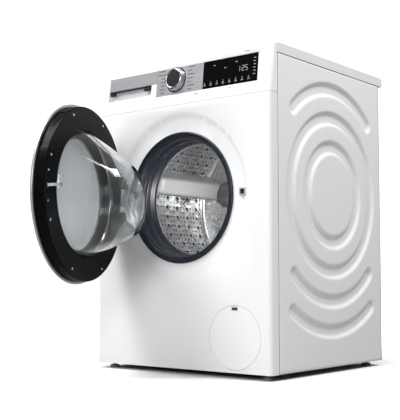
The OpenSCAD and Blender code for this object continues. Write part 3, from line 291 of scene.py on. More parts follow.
class GroupBuilder:
    """Builds each shared effect once as a shader node group."""

    def __init__(self) -> None:
        """Starts with no group built."""
        self.groups: dict[Effect, bpy.types.NodeTree] = {}

    def get(self, effect: Effect) -> bpy.types.NodeTree:
        """Returns the group for an effect, building it on first use.

        Args:
            effect: The effect wanted.

        Returns:
            The node group.
        """
        if effect not in self.groups:
            tree = bpy.data.node_groups.new(effect.value, "ShaderNodeTree")
            getattr(self, "_" + effect.value)(tree)
            self.groups[effect] = tree
        return self.groups[effect]

    @staticmethod
    def _sockets(tree: bpy.types.NodeTree, inputs: dict[str, tuple[str, float | Colour]],
                 outputs: dict[str, str]) -> tuple[bpy.types.Node, bpy.types.Node]:
        """Adds a group's sockets and its two end nodes.

        Args:
            tree: The group.
            inputs: Socket type and default of each input.
            outputs: Socket type of each output.

        Returns:
            The group input and output nodes.
        """
        for name, (kind, default) in inputs.items():
            socket = tree.interface.new_socket(name, in_out="INPUT", socket_type=kind)
            if kind == "NodeSocketColor":
                socket.default_value = (*default, 1.0)
            elif kind == "NodeSocketFloat":
                socket.default_value = default
        for name, kind in outputs.items():
            tree.interface.new_socket(name, in_out="OUTPUT", socket_type=kind)
        return tree.nodes.new("NodeGroupInput"), tree.nodes.new("NodeGroupOutput")

    @staticmethod
    def _math(tree: bpy.types.NodeTree, kind: str, *values: object) -> bpy.types.NodeSocket:
        """Adds a math node whose inputs are numbers or sockets.

        Args:
            tree: The tree it goes in.
            kind: The operation.
            values: Its inputs in order.

        Returns:
            Its output socket.
        """
        node = tree.nodes.new("ShaderNodeMath")
        node.operation = kind
        for index, value in enumerate(values):
            if isinstance(value, (int, float)):
                node.inputs[index].default_value = value
            else:
                tree.links.new(value, node.inputs[index])
        return node.outputs[0]

    @staticmethod
    def _noise(tree: bpy.types.NodeTree, vector: bpy.types.NodeSocket, scale: object,
               detail: float) -> bpy.types.NodeSocket:
        """Adds a noise texture on a vector.

        Args:
            tree: The tree it goes in.
            vector: The coordinates.
            scale: A number or a socket.
            detail: Octaves of the noise.

        Returns:
            The noise value's socket.
        """
        node = tree.nodes.new("ShaderNodeTexNoise")
        node.inputs["Detail"].default_value = detail
        if isinstance(scale, (int, float)):
            node.inputs["Scale"].default_value = scale
        else:
            tree.links.new(scale, node.inputs["Scale"])
        tree.links.new(vector, node.inputs["Vector"])
        return node.outputs["Fac"]

    def _mix(self, tree: bpy.types.NodeTree, factor: bpy.types.NodeSocket, a: object,
             b: object) -> bpy.types.NodeSocket:
        """Mixes two colours by a factor.

        Args:
            tree: The tree it goes in.
            factor: Share of the second colour.
            a: First colour or socket.
            b: Second colour or socket.

        Returns:
            The mixed colour's socket.
        """
        node = tree.nodes.new("ShaderNodeMix")
        node.data_type = "RGBA"
        tree.links.new(factor, node.inputs["Factor"])
        for socket, value in ((node.inputs[6], a), (node.inputs[7], b)):
            if isinstance(value, tuple):
                socket.default_value = (*value, 1.0)
            else:
                tree.links.new(value, socket)
        return node.outputs[2]

    def _tone_variation(self, tree: bpy.types.NodeTree) -> None:
        """Slow drifts of tone: the colour is scaled by 1 +- Amount with two sizes of noise."""
        start, end = self._sockets(
            tree, {"Vector": ("NodeSocketVector", 0.0), "Color": ("NodeSocketColor", (1, 1, 1)),
                   "Second Color": ("NodeSocketColor", (1, 1, 1)),
                   "Scale": ("NodeSocketFloat", 8.0), "Amount": ("NodeSocketFloat", 0.2)},
            {"Color": "NodeSocketColor", "Mask": "NodeSocketFloat"})
        slow = self._noise(tree, start.outputs["Vector"], start.outputs["Scale"], 3.0)
        fine = self._noise(tree, start.outputs["Vector"],
                           self._math(tree, "MULTIPLY", start.outputs["Scale"], 9.0), 2.0)
        both = self._math(tree, "ADD", self._math(tree, "MULTIPLY", slow, 0.7),
                          self._math(tree, "MULTIPLY", fine, 0.3))
        mask = self._math(tree, "MULTIPLY", both, start.outputs["Amount"])
        colour = self._mix(tree, mask, start.outputs["Color"], start.outputs["Second Color"])
        tree.links.new(colour, end.inputs["Color"])
        tree.links.new(both, end.inputs["Mask"])

    def _orange_peel(self, tree: bpy.types.NodeTree) -> None:
        """Fine rounded unevenness of a sprayed, moulded or cast surface, as a height."""
        start, end = self._sockets(
            tree, {"Vector": ("NodeSocketVector", 0.0), "Scale": ("NodeSocketFloat", 300.0),
                   "Coarse Share": ("NodeSocketFloat", 0.3)}, {"Height": "NodeSocketFloat"})
        fine = self._noise(tree, start.outputs["Vector"], start.outputs["Scale"], 1.0)
        coarse = self._noise(tree, start.outputs["Vector"],
                             self._math(tree, "MULTIPLY", start.outputs["Scale"], 0.13), 2.0)
        height = self._math(tree, "ADD", fine,
                            self._math(tree, "MULTIPLY", coarse, start.outputs["Coarse Share"]))
        tree.links.new(height, end.inputs["Height"])

    def _brushed_lines(self, tree: bpy.types.NodeTree) -> None:
        """Long thin scratches: noise on coordinates stretched by the Stretch vector."""
        start, end = self._sockets(
            tree, {"Vector": ("NodeSocketVector", 0.0), "Stretch": ("NodeSocketVector", 0.0),
                   "Color": ("NodeSocketColor", (1, 1, 1)), "Dark": ("NodeSocketColor", (0, 0, 0)),
                   "Amount": ("NodeSocketFloat", 0.3)},
            {"Color": "NodeSocketColor", "Height": "NodeSocketFloat"})
        stretch = tree.nodes.new("ShaderNodeVectorMath")
        stretch.operation = "MULTIPLY"
        tree.links.new(start.outputs["Vector"], stretch.inputs[0])
        tree.links.new(start.outputs["Stretch"], stretch.inputs[1])
        lines = self._noise(tree, stretch.outputs[0], 1.0, 4.0)
        factor = self._math(tree, "MULTIPLY", lines, start.outputs["Amount"])
        tree.links.new(self._mix(tree, factor, start.outputs["Color"], start.outputs["Dark"]),
                       end.inputs["Color"])
        tree.links.new(lines, end.inputs["Height"])

    def _edge_wear(self, tree: bpy.types.NodeTree) -> None:
        """Lighter, rubbed outer edges: a mask from how much the surface curves outwards."""
        start, end = self._sockets(
            tree, {"Vector": ("NodeSocketVector", 0.0), "Color": ("NodeSocketColor", (1, 1, 1)),
                   "Worn Color": ("NodeSocketColor", (1, 1, 1)),
                   "Amount": ("NodeSocketFloat", 0.3)},
            {"Color": "NodeSocketColor", "Mask": "NodeSocketFloat"})
        shape = tree.nodes.new("ShaderNodeNewGeometry")
        ramp = tree.nodes.new("ShaderNodeMapRange")
        ramp.inputs["From Min"].default_value = 0.54
        ramp.inputs["From Max"].default_value = 0.66
        tree.links.new(shape.outputs["Pointiness"], ramp.inputs["Value"])
        patches = self._noise(tree, start.outputs["Vector"], 60.0, 3.0)
        mask = self._math(tree, "MULTIPLY", self._math(tree, "MULTIPLY", ramp.outputs[0], patches),
                          start.outputs["Amount"])
        tree.links.new(self._mix(tree, mask, start.outputs["Color"],
                                 start.outputs["Worn Color"]), end.inputs["Color"])
        tree.links.new(mask, end.inputs["Mask"])

    def _low_dust(self, tree: bpy.types.NodeTree) -> None:
        """Dust that thickens towards the floor: a mask from height and noise."""
        start, end = self._sockets(
            tree, {"Vector": ("NodeSocketVector", 0.0), "Color": ("NodeSocketColor", (1, 1, 1)),
                   "Dust Color": ("NodeSocketColor", (0.6, 0.58, 0.55)),
                   "Height": ("NodeSocketFloat", 0.12), "Amount": ("NodeSocketFloat", 0.15)},
            {"Color": "NodeSocketColor", "Mask": "NodeSocketFloat"})
        split = tree.nodes.new("ShaderNodeSeparateXYZ")
        tree.links.new(start.outputs["Vector"], split.inputs[0])
        fall = tree.nodes.new("ShaderNodeMapRange")
        fall.inputs["From Min"].default_value = 0.0
        fall.inputs["To Min"].default_value = 1.0
        fall.inputs["To Max"].default_value = 0.0
        tree.links.new(split.outputs["Z"], fall.inputs["Value"])
        tree.links.new(start.outputs["Height"], fall.inputs["From Max"])
        patches = self._noise(tree, start.outputs["Vector"], 35.0, 4.0)
        mask = self._math(tree, "MULTIPLY", self._math(tree, "MULTIPLY", fall.outputs[0], patches),
                          start.outputs["Amount"])
        tree.links.new(self._mix(tree, mask, start.outputs["Color"], start.outputs["Dust Color"]),
                       end.inputs["Color"])
        tree.links.new(mask, end.inputs["Mask"])


# --------------------------------------------------------------------------- finishes


@dataclass(frozen=True)
class Finish:
    """One finish: its colours, gloss and the effects laid over them."""

    name: str
    colour: Colour
    second: Colour
    roughness: float = 0.4
    rough_swing: float = 0.12
    metallic: float = 0.0
    tone_scale: float = 6.0
    tone_amount: float = 0.5
    peel_scale: float = 400.0
    peel_depth: float = 0.00004
    brush: tuple[float, float, float] | None = None
    brush_dark: Colour = (0.2, 0.2, 0.21)
    brush_amount: float = 0.35
    wear: Colour | None = None
    wear_amount: float = 0.5
    dust: float = 0.0
    coat: float = 0.0
    coat_roughness: float = 0.05
    anisotropic: float = 0.0
    specular: float = 0.5
    transmission: float = 0.0
    ior: float = 1.5
    alpha: float = 1.0
    emission: float = 0.0

    def build(self, groups: GroupBuilder) -> bpy.types.Material:
        """Makes the material: tone, brush, wear and dust feed colour; peel and brush feed bump.

        Args:
            groups: The shared effects.

        Returns:
            The material.
        """
        material = bpy.data.materials.new(self.name)
        material.use_nodes = True
        tree = material.node_tree
        shader = tree.nodes["Principled BSDF"]
        place = tree.nodes.new("ShaderNodeTexCoord").outputs["Object"]

        def effect(kind: Effect, values: dict[str, object]) -> bpy.types.Node:
            """Places one shared effect with its own values."""
            node = tree.nodes.new("ShaderNodeGroup")
            node.node_tree = groups.get(kind)
            tree.links.new(place, node.inputs["Vector"])
            for name, value in values.items():
                if isinstance(value, bpy.types.NodeSocket):
                    tree.links.new(value, node.inputs[name])
                elif isinstance(value, tuple) and name != "Stretch":
                    node.inputs[name].default_value = (*value, 1.0)
                else:
                    node.inputs[name].default_value = value
            return node

        tone = effect(Effect.TONE, {"Color": self.colour, "Second Color": self.second,
                                    "Scale": self.tone_scale, "Amount": self.tone_amount})
        colour = tone.outputs["Color"]
        height = effect(Effect.PEEL, {"Scale": self.peel_scale}).outputs["Height"]
        bump_depth = self.peel_depth
        if self.brush is not None:
            lines = effect(Effect.BRUSH, {"Color": colour, "Dark": self.brush_dark,
                                          "Stretch": self.brush, "Amount": self.brush_amount})
            colour, height = lines.outputs["Color"], lines.outputs["Height"]
        if self.wear is not None:
            colour = effect(Effect.EDGE, {"Color": colour, "Worn Color": self.wear,
                                          "Amount": self.wear_amount}).outputs["Color"]
        if self.dust > 0:
            colour = effect(Effect.DUST, {"Color": colour, "Amount": self.dust}).outputs["Color"]
        tree.links.new(colour, shader.inputs["Base Color"])

        swing = tree.nodes.new("ShaderNodeMapRange")
        swing.inputs["To Min"].default_value = max(self.roughness - self.rough_swing / 2, 0.02)
        swing.inputs["To Max"].default_value = min(self.roughness + self.rough_swing / 2, 1.0)
        tree.links.new(tone.outputs["Mask"], swing.inputs["Value"])
        tree.links.new(swing.outputs[0], shader.inputs["Roughness"])

        bump = tree.nodes.new("ShaderNodeBump")
        bump.inputs["Distance"].default_value = bump_depth
        bump.inputs["Strength"].default_value = 1.0
        tree.links.new(height, bump.inputs["Height"])
        tree.links.new(bump.outputs["Normal"], shader.inputs["Normal"])

        shader.inputs["Metallic"].default_value = self.metallic
        shader.inputs["Coat Weight"].default_value = self.coat
        shader.inputs["Coat Roughness"].default_value = self.coat_roughness
        shader.inputs["Anisotropic"].default_value = self.anisotropic
        shader.inputs["Specular IOR Level"].default_value = self.specular
        shader.inputs["Transmission Weight"].default_value = self.transmission
        shader.inputs["IOR"].default_value = self.ior
        shader.inputs["Alpha"].default_value = self.alpha
        if self.emission > 0:
            tree.links.new(colour, shader.inputs["Emission Color"])
            shader.inputs["Emission Strength"].default_value = self.emission
        return material


FINISHES = (
    Finish("white_enamel", (0.84, 0.845, 0.85), (0.81, 0.815, 0.825), 0.34, 0.06,
           tone_scale=3.0, peel_scale=260.0, peel_depth=0.00002, coat=0.12, dust=0.10),
    Finish("white_moulding", (0.85, 0.855, 0.86), (0.82, 0.825, 0.84), 0.38, 0.08,
           tone_scale=5.0, peel_scale=900.0, peel_depth=0.00002),
    Finish("white_worktop", (0.78, 0.782, 0.785), (0.75, 0.755, 0.76), 0.34, 0.08,
           tone_scale=4.0, peel_scale=700.0, peel_depth=0.00003),
    Finish("zinc_sheet", (0.56, 0.57, 0.59), (0.44, 0.46, 0.48), 0.42, 0.2, 0.9,
           tone_scale=45.0, tone_amount=0.9, wear=(0.75, 0.75, 0.76), dust=0.3),
    Finish("trim_silver", (0.40, 0.392, 0.415), (0.33, 0.325, 0.35), 0.40, 0.1, 0.35,
           tone_scale=4.0, brush=(6.0, 1200.0, 1200.0), brush_dark=(0.24, 0.235, 0.26),
           peel_depth=0.00001, anisotropic=0.4),
    # Near black for the display window, also used as painted shade in the gap ring around the dial.
    Finish("display_black", (0.002, 0.002, 0.0025), (0.004, 0.004, 0.0045), 0.22, 0.05,
           specular=0.04, peel_depth=0.000005),
    Finish("board_green", (0.02, 0.17, 0.08), (0.01, 0.10, 0.05), 0.45, 0.2, tone_scale=90.0,
           wear=(0.5, 0.42, 0.2)),
    Finish("housing_plastic", (0.56, 0.57, 0.58), (0.48, 0.49, 0.5), 0.5, 0.15,
           wear=(0.7, 0.7, 0.7), peel_scale=1200.0),
    Finish("hose_rubber", (0.16, 0.16, 0.165), (0.11, 0.11, 0.115), 0.62, 0.15,
           tone_scale=30.0, peel_scale=900.0, wear=(0.24, 0.24, 0.24), dust=0.3),
    Finish("pump_plastic", (0.045, 0.047, 0.05), (0.03, 0.03, 0.033), 0.45, 0.15,
           wear=(0.1, 0.1, 0.1), peel_scale=900.0, dust=0.4),
    Finish("dark_plastic", (0.07, 0.07, 0.075), (0.05, 0.05, 0.055), 0.42, 0.15,
           wear=(0.14, 0.14, 0.14), peel_scale=900.0),
    Finish("gasket_rubber", (0.007, 0.009, 0.016), (0.013, 0.015, 0.026), 0.36, 0.12,
           tone_scale=25.0, peel_scale=700.0, peel_depth=0.00003, specular=0.45,
           wear=(0.05, 0.06, 0.08)),
    Finish("cast_zinc", (0.50, 0.51, 0.53), (0.38, 0.39, 0.41), 0.38, 0.15, 0.9,
           tone_scale=60.0, peel_scale=500.0, wear=(0.75, 0.75, 0.77)),
    Finish("bright_steel", (0.66, 0.665, 0.68), (0.5, 0.505, 0.52), 0.25, 0.12, 1.0,
           tone_scale=50.0, wear=(0.85, 0.85, 0.86)),
    Finish("door_black", (0.0015, 0.0015, 0.002), (0.003, 0.003, 0.0035), 0.30, 0.06,
           specular=0.05, peel_scale=300.0, peel_depth=0.00001),
    Finish("door_silver", (0.42, 0.425, 0.44), (0.35, 0.355, 0.37), 0.33, 0.1, 0.7,
           tone_scale=6.0, peel_scale=1200.0, wear=(0.6, 0.6, 0.62)),
    # The pane glows faintly through its emission: painted light, as if lit through from behind.
    Finish("door_pane", (0.86, 0.87, 0.88), (0.60, 0.61, 0.63), 0.30, 0.1, 0.0,
           tone_scale=1.6, tone_amount=0.7, brush=(260.0, 260.0, 3.0),
           brush_dark=(0.36, 0.37, 0.39), brush_amount=0.6, peel_depth=0.00001,
           emission=0.06),
    Finish("bowl_glass", (0.93, 0.95, 0.955), (0.88, 0.91, 0.92), 0.03, 0.02,
           peel_scale=40.0, peel_depth=0.00002, transmission=1.0, ior=1.45),
    Finish("tub_plastic", (0.45, 0.46, 0.47), (0.36, 0.37, 0.38), 0.5, 0.15,
           tone_scale=15.0, peel_scale=900.0, wear=(0.6, 0.6, 0.6)),
    Finish("concrete", (0.34, 0.335, 0.325), (0.22, 0.22, 0.215), 0.85, 0.2,
           tone_scale=60.0, tone_amount=0.9, peel_scale=220.0, peel_depth=0.0006,
           wear=(0.5, 0.49, 0.47)),
    Finish("cast_alloy", (0.46, 0.465, 0.475), (0.34, 0.345, 0.355), 0.45, 0.15, 0.9,
           tone_scale=40.0, peel_scale=350.0, peel_depth=0.0002, wear=(0.7, 0.7, 0.71)),
    Finish("motor_grey", (0.17, 0.175, 0.185), (0.11, 0.115, 0.12), 0.4, 0.15, 0.6,
           tone_scale=40.0, peel_scale=500.0, wear=(0.4, 0.4, 0.42), dust=0.2),
    # Stainless swings at random between near white and near black: painted reflection of a bright
    # and dark surround, over the steel's own tone.
    Finish("stainless", (0.92, 0.925, 0.93), (0.10, 0.105, 0.11), 0.27, 0.14, 0.80,
           tone_scale=6.0, tone_amount=1.0, brush=(60.0, 500.0, 60.0),
           brush_dark=(0.22, 0.225, 0.23), brush_amount=0.35, peel_depth=0.00001),
    # Near black discs for the drum's holes: painted shade of the tub seen through them.
    Finish("punched_holes", (0.006, 0.006, 0.007), (0.02, 0.02, 0.021), 0.6, 0.2,
           tone_scale=80.0, specular=0.2),
    Finish("paddle_grey", (0.42, 0.43, 0.425), (0.35, 0.36, 0.355), 0.42, 0.12,
           tone_scale=15.0, peel_scale=1000.0, wear=(0.75, 0.75, 0.75)),
    Finish("cap_grey", (0.06, 0.062, 0.066), (0.09, 0.092, 0.096), 0.42, 0.12,
           tone_scale=20.0, peel_scale=900.0, wear=(0.2, 0.2, 0.2)),
    Finish("belt_rubber", (0.018, 0.018, 0.018), (0.03, 0.03, 0.03), 0.7, 0.2,
           tone_scale=70.0, peel_scale=900.0, wear=(0.08, 0.08, 0.08), dust=0.3),
    Finish("rotor_steel", (0.42, 0.30, 0.2), (0.3, 0.2, 0.13), 0.38, 0.2, 0.9,
           tone_scale=80.0, wear=(0.7, 0.6, 0.5)),
    Finish("dial_chrome", (0.52, 0.525, 0.54), (0.40, 0.405, 0.42), 0.20, 0.06, 1.0,
           tone_scale=30.0, peel_scale=1500.0, peel_depth=0.000005, wear=(0.8, 0.8, 0.81)),
    Finish("dial_face", (0.012, 0.02, 0.018), (0.02, 0.034, 0.03), 0.12, 0.06, 0.2,
           tone_scale=60.0, coat=0.5, peel_depth=0.000005),
    Finish("filter_plastic", (0.12, 0.15, 0.18), (0.08, 0.1, 0.13), 0.42, 0.15,
           wear=(0.25, 0.28, 0.3), peel_scale=900.0),
    Finish("foot_rubber", (0.02, 0.02, 0.021), (0.035, 0.035, 0.035), 0.6, 0.2,
           tone_scale=60.0, peel_scale=900.0, wear=(0.09, 0.09, 0.09), dust=0.5),
    Finish("bezel_grey", (0.55, 0.555, 0.56), (0.45, 0.455, 0.46), 0.35, 0.1, 0.3,
           peel_scale=900.0, wear=(0.75, 0.75, 0.75)),
    # Near black as painted shade: dresses the base tray for the dark gap under the machine and fills
    # the finger pocket under the grip plate.
    Finish("painted_shade_black", (0.012, 0.012, 0.013), (0.02, 0.02, 0.021), 0.55, 0.15,
           specular=0.2, peel_scale=500.0, dust=0.15),
    # Dark print, also used as painted shade: the strips in the panel gaps, the flap's slot and the
    # drawer's edge line.
    Finish("print_and_gap_shade", (0.03, 0.03, 0.035), (0.06, 0.06, 0.065), 0.5, 0.1, tone_scale=60.0),
    Finish("print_pale", (0.50, 0.51, 0.53), (0.40, 0.41, 0.43), 0.5, 0.1, tone_scale=60.0,
           emission=0.12),
)


class Workshop:
    """Holds the frame, the shared effects and the finishes, and reports each piece made."""

    def __init__(self, loaded: dict) -> None:
        """Builds every finish.
        """
        self.nodes = loaded["nodes"]
        groups = GroupBuilder()
        self.materials = {finish.name: finish.build(groups) for finish in FINISHES}
        self.slots = {part["node"]: part["material_slot"]
                      for part in loaded["record"]["subparts"]}

    def paint(self, obj: bpy.types.Object, finish: str) -> None:
        """Gives an object one finish.

        Args:
            obj: The object.
            finish: Name of the finish.
        """
        obj.data.materials.clear()
        obj.data.materials.append(self.materials[finish])

    def dress_node(self, node: str, finish: str) -> None:
        """Puts a finish on a CAD node that stays visible.

        Args:
            node: Name of the node.
            finish: Name of the finish.
        """
        obj = self.nodes[node]
        for slot in obj.material_slots:
            slot.material = self.materials[finish]
        log.info("%s dressed in %s", node, finish)

    def add(self, obj: bpy.types.Object, body: str, finish: str, node: str,
            stands_for: bool = True) -> bpy.types.Object:
        """Finishes a new piece that rides on one body.

        Args:
            obj: The piece.
            body: The body it moves with.
            finish: Name of its finish.
            node: The CAD node it stands for or belongs to.
            stands_for: Whether the node is hidden.

        Returns:
            The piece.
        """
        self.paint(obj, finish)
        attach(obj, body)
        if stands_for:
            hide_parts(node)
        log.info("%s made in %s, %d faces", obj.name, finish, len(obj.data.polygons))
        return obj

    def rounded(self, node: str, body: str, finish: str, width: float,
                segments: int = 2) -> bpy.types.Object:
        """Copies a CAD node, merges its flats and rounds its edges.

        Args:
            node: The CAD node.
            body: The body it moves with.
            finish: Name of its finish.
            width: Width of the rounding in metres.
            segments: Steps across the rounding.

        Returns:
            The rounded copy, which stands for the node.
        """
        bm = bmesh.new()
        bm.from_mesh(self.nodes[node].data)
        bmesh.ops.remove_doubles(bm, verts=bm.verts, dist=1e-5)
        bmesh.ops.dissolve_limit(bm, angle_limit=math.radians(0.5), verts=bm.verts,
                                 edges=bm.edges, delimit={"NORMAL"})
        mesh = bpy.data.meshes.new("rounded_" + node)
        bm.to_mesh(mesh)
        bm.free()
        obj = bpy.data.objects.new("rounded_" + node, mesh)
        bpy.context.scene.collection.objects.link(obj)
        bevel = obj.modifiers.new("round_edges", "BEVEL")
        bevel.width = width
        bevel.segments = segments
        bevel.limit_method = "ANGLE"
        bevel.angle_limit = math.radians(35)
        bevel.use_clamp_overlap = True
        mesh.shade_smooth()
        mesh.set_sharp_from_angle(angle=math.radians(30))
        return self.add(obj, body, finish, node)


# --------------------------------------------------------------------------- cabinet


@dataclass
class Cabinet:
    """The painted case: sides with pressed rings, front with its dish, worktop, flap and feet."""

    half_w: float = 0.299
    front_y: float = -0.295
    rear_y: float = 0.271
    top_z: float = 0.822
    base_z: float = 0.015
    sheet: float = 0.0012
    side_y0: float = -0.2602
    ring_y: float = 0.005
    ring_z: float = 0.477
    ring_radii: tuple[float, ...] = (0.129, 0.2085)
    arcs: tuple[tuple[float, float, float], ...] = (
        (0.288, 48.0, 132.0), (0.288, 228.0, 312.0), (0.3675, 237.0, 303.0))
    groove_half: float = 0.021
    groove_depth: float = 0.0064
    slope: float = 0.011
    grid_step: float = 0.0034
    seam_z: float = 0.719
    seam_half: float = 0.0011
    seam_thick: float = 0.0007
    seam_inset: float = 0.0003
    slot_centre: tuple[float, float] = (0.1876, 0.1752)
    slot_half: tuple[float, float, float] = (0.0085, 0.0002, 0.0034)

    def groove(self, y: Array, z: Array) -> Array:
        """Depth of the pressed grooves at points of a side panel.

        The distance d to the nearest groove's centre line, a circle or an arc with round ends,
        gives depth = full * smoothstep((half - d) / slope).

        Args:
            y: Y of the points.
            z: Z of the points.

        Returns:
            How far each point is pressed in.
        """
        dy, dz = y - self.ring_y, z - self.ring_z
        r = np.hypot(dy, dz)
        angle = np.degrees(np.arctan2(dz, dy)) % 360.0
        distance = np.min([np.abs(r - radius) for radius in self.ring_radii], axis=0)
        for radius, first, last in self.arcs:
            inside = (angle >= first) & (angle <= last)
            ends = [np.hypot(dy - radius * math.cos(math.radians(a)),
                             dz - radius * math.sin(math.radians(a))) for a in (first, last)]
            along = np.where(inside, np.abs(r - radius), np.minimum(*ends))
            distance = np.minimum(distance, along)
        t = np.clip((self.groove_half - distance) / self.slope, 0.0, 1.0)
        return self.groove_depth * t * t * (3 - 2 * t)

    def side_panel(self, shop: Workshop, side: int) -> None:
        """One side: a sheet x = side * (half width - depth(y, z)) with its own thickness.

        Args:
            shop: The workshop.
            side: -1 for the left and 1 for the right.
        """
        y = np.linspace(self.side_y0, self.rear_y - self.sheet,
                        int((self.rear_y - self.side_y0) / self.grid_step))
        z = np.linspace(self.base_z, self.top_z - 0.0002,
                        int((self.top_z - self.base_z) / self.grid_step))
        yy, zz = np.meshgrid(y, z, indexing="ij")
        hem = 0.0016
        edge = np.minimum.reduce([yy - y[0], y[-1] - yy, zz - z[0], z[-1] - zz])
        turn_in = hem * (1 - np.clip(edge / (2 * hem), 0, 1)) ** 2
        outer = self.half_w - self.groove(yy, zz) - turn_in
        inner = outer - self.sheet
        shape = yy.shape
        walls = np.stack([np.stack([side * x, yy, zz], -1) for x in (outer, inner)])
        count = shape[0] * shape[1]
        skin = quads_of_grid(*shape, False, False)
        index = np.arange(count).reshape(shape)
        rim = np.concatenate([index[0, :], index[1:, -1], index[-1, -2::-1], index[-2:0:-1, 0]])
        after = np.roll(rim, -1)
        band = np.stack([rim, after, after + count, rim + count], -1)
        name = "side_sheet_left" if side < 0 else "side_sheet_right"
        node = "side_panel_left" if side < 0 else "side_panel_right"
        obj = new_object(name, walls, np.concatenate([skin, skin[:, ::-1] + count, band]), 40)
        shop.add(obj, "cabinet", "white_enamel", node)

    def seams(self, shop: Workshop) -> None:
        """Painted shade: dark strips set in the gaps between the front, the fascia, the sides and
        the worktop.

        Args:
            shop: The workshop.
        """
        thin, inset, seam = self.seam_thick, self.seam_inset, self.seam_half
        tall = (self.top_z - self.base_z) / 2
        long = (self.rear_y - self.side_y0) / 2
        centres, halves = [[0, self.front_y + thin + 0.0001, self.seam_z - 0.0004]], [
            [self.half_w - 0.009, thin, 1.3 * seam]]
        for side in (-1, 1):
            edge = side * (self.half_w - inset - thin)
            centres += [[edge, self.side_y0 + 0.0002, self.base_z + tall],
                        [edge, self.side_y0 + long, self.top_z - 0.0004]]
            halves += [[thin, seam, tall - 0.001], [thin, long, seam]]
        obj = boxes("seam_lines", np.array(centres), np.array(halves), lambda points: points)
        shop.add(obj, "cabinet", "print_and_gap_shade", "front_panel", stands_for=False)
        # The flap's slot is a dark plate on the flap: painted shade of the recess.
        slot_x, slot_z = self.slot_centre
        slot = boxes("flap_slot", np.array([[slot_x, self.front_y - 0.00002, slot_z]]),
                     np.array([self.slot_half]), lambda points: points)
        shop.add(slot, "flap", "print_and_gap_shade", "service_flap", stands_for=False)

    def build(self, shop: Workshop) -> None:
        """Makes and dresses the case.

        Args:
            shop: The workshop.
        """
        for side in (-1, 1):
            self.side_panel(shop, side)
        self.seams(shop)
        shop.rounded("front_panel", "cabinet", "white_enamel", 0.0022, 3)
        shop.rounded("worktop", "cabinet", "white_worktop", 0.0035, 4)
        shop.rounded("control_fascia", "cabinet", "white_moulding", 0.0009, 2)
        shop.rounded("service_flap", "flap", "white_moulding", 0.0007, 2)
        # The base tray is dressed near black as painted shade of the gap under the machine.
        for node, finish in (
                ("base_tray", "painted_shade_black"), ("rear_panel", "zinc_sheet"),
                ("rear_cover", "zinc_sheet"), ("top_braces", "zinc_sheet"),
                ("flap_frame", "dark_plastic"), ("transit_caps", "housing_plastic"),
                ("foot_locknuts", "bright_steel"), ("mains_gland", "dark_plastic"),
                ("pump_filter", "filter_plastic"), ("foot_front_left", "foot_rubber"),
                ("foot_front_right", "foot_rubber"), ("foot_rear_left", "foot_rubber"),
                ("foot_rear_right", "foot_rubber"), ("inlet_valve", "housing_plastic"),
                ("dispenser_housing", "housing_plastic"), ("drain_pump", "pump_plastic"),
                ("drain_hose", "hose_rubber"),
                ("drain_outlet", "dark_plastic"), ("water_hoses", "hose_rubber"),
                ("door_lock", "dark_plastic"), ("lock_bezel", "bezel_grey"),
                ("hinge_bracket", "cast_zinc"), ("hinge_pin", "bright_steel"),
                ("damper_cylinders", "pump_plastic"), ("control_board", "board_green")):
            shop.dress_node(node, finish)


# --------------------------------------------------------------------------- door


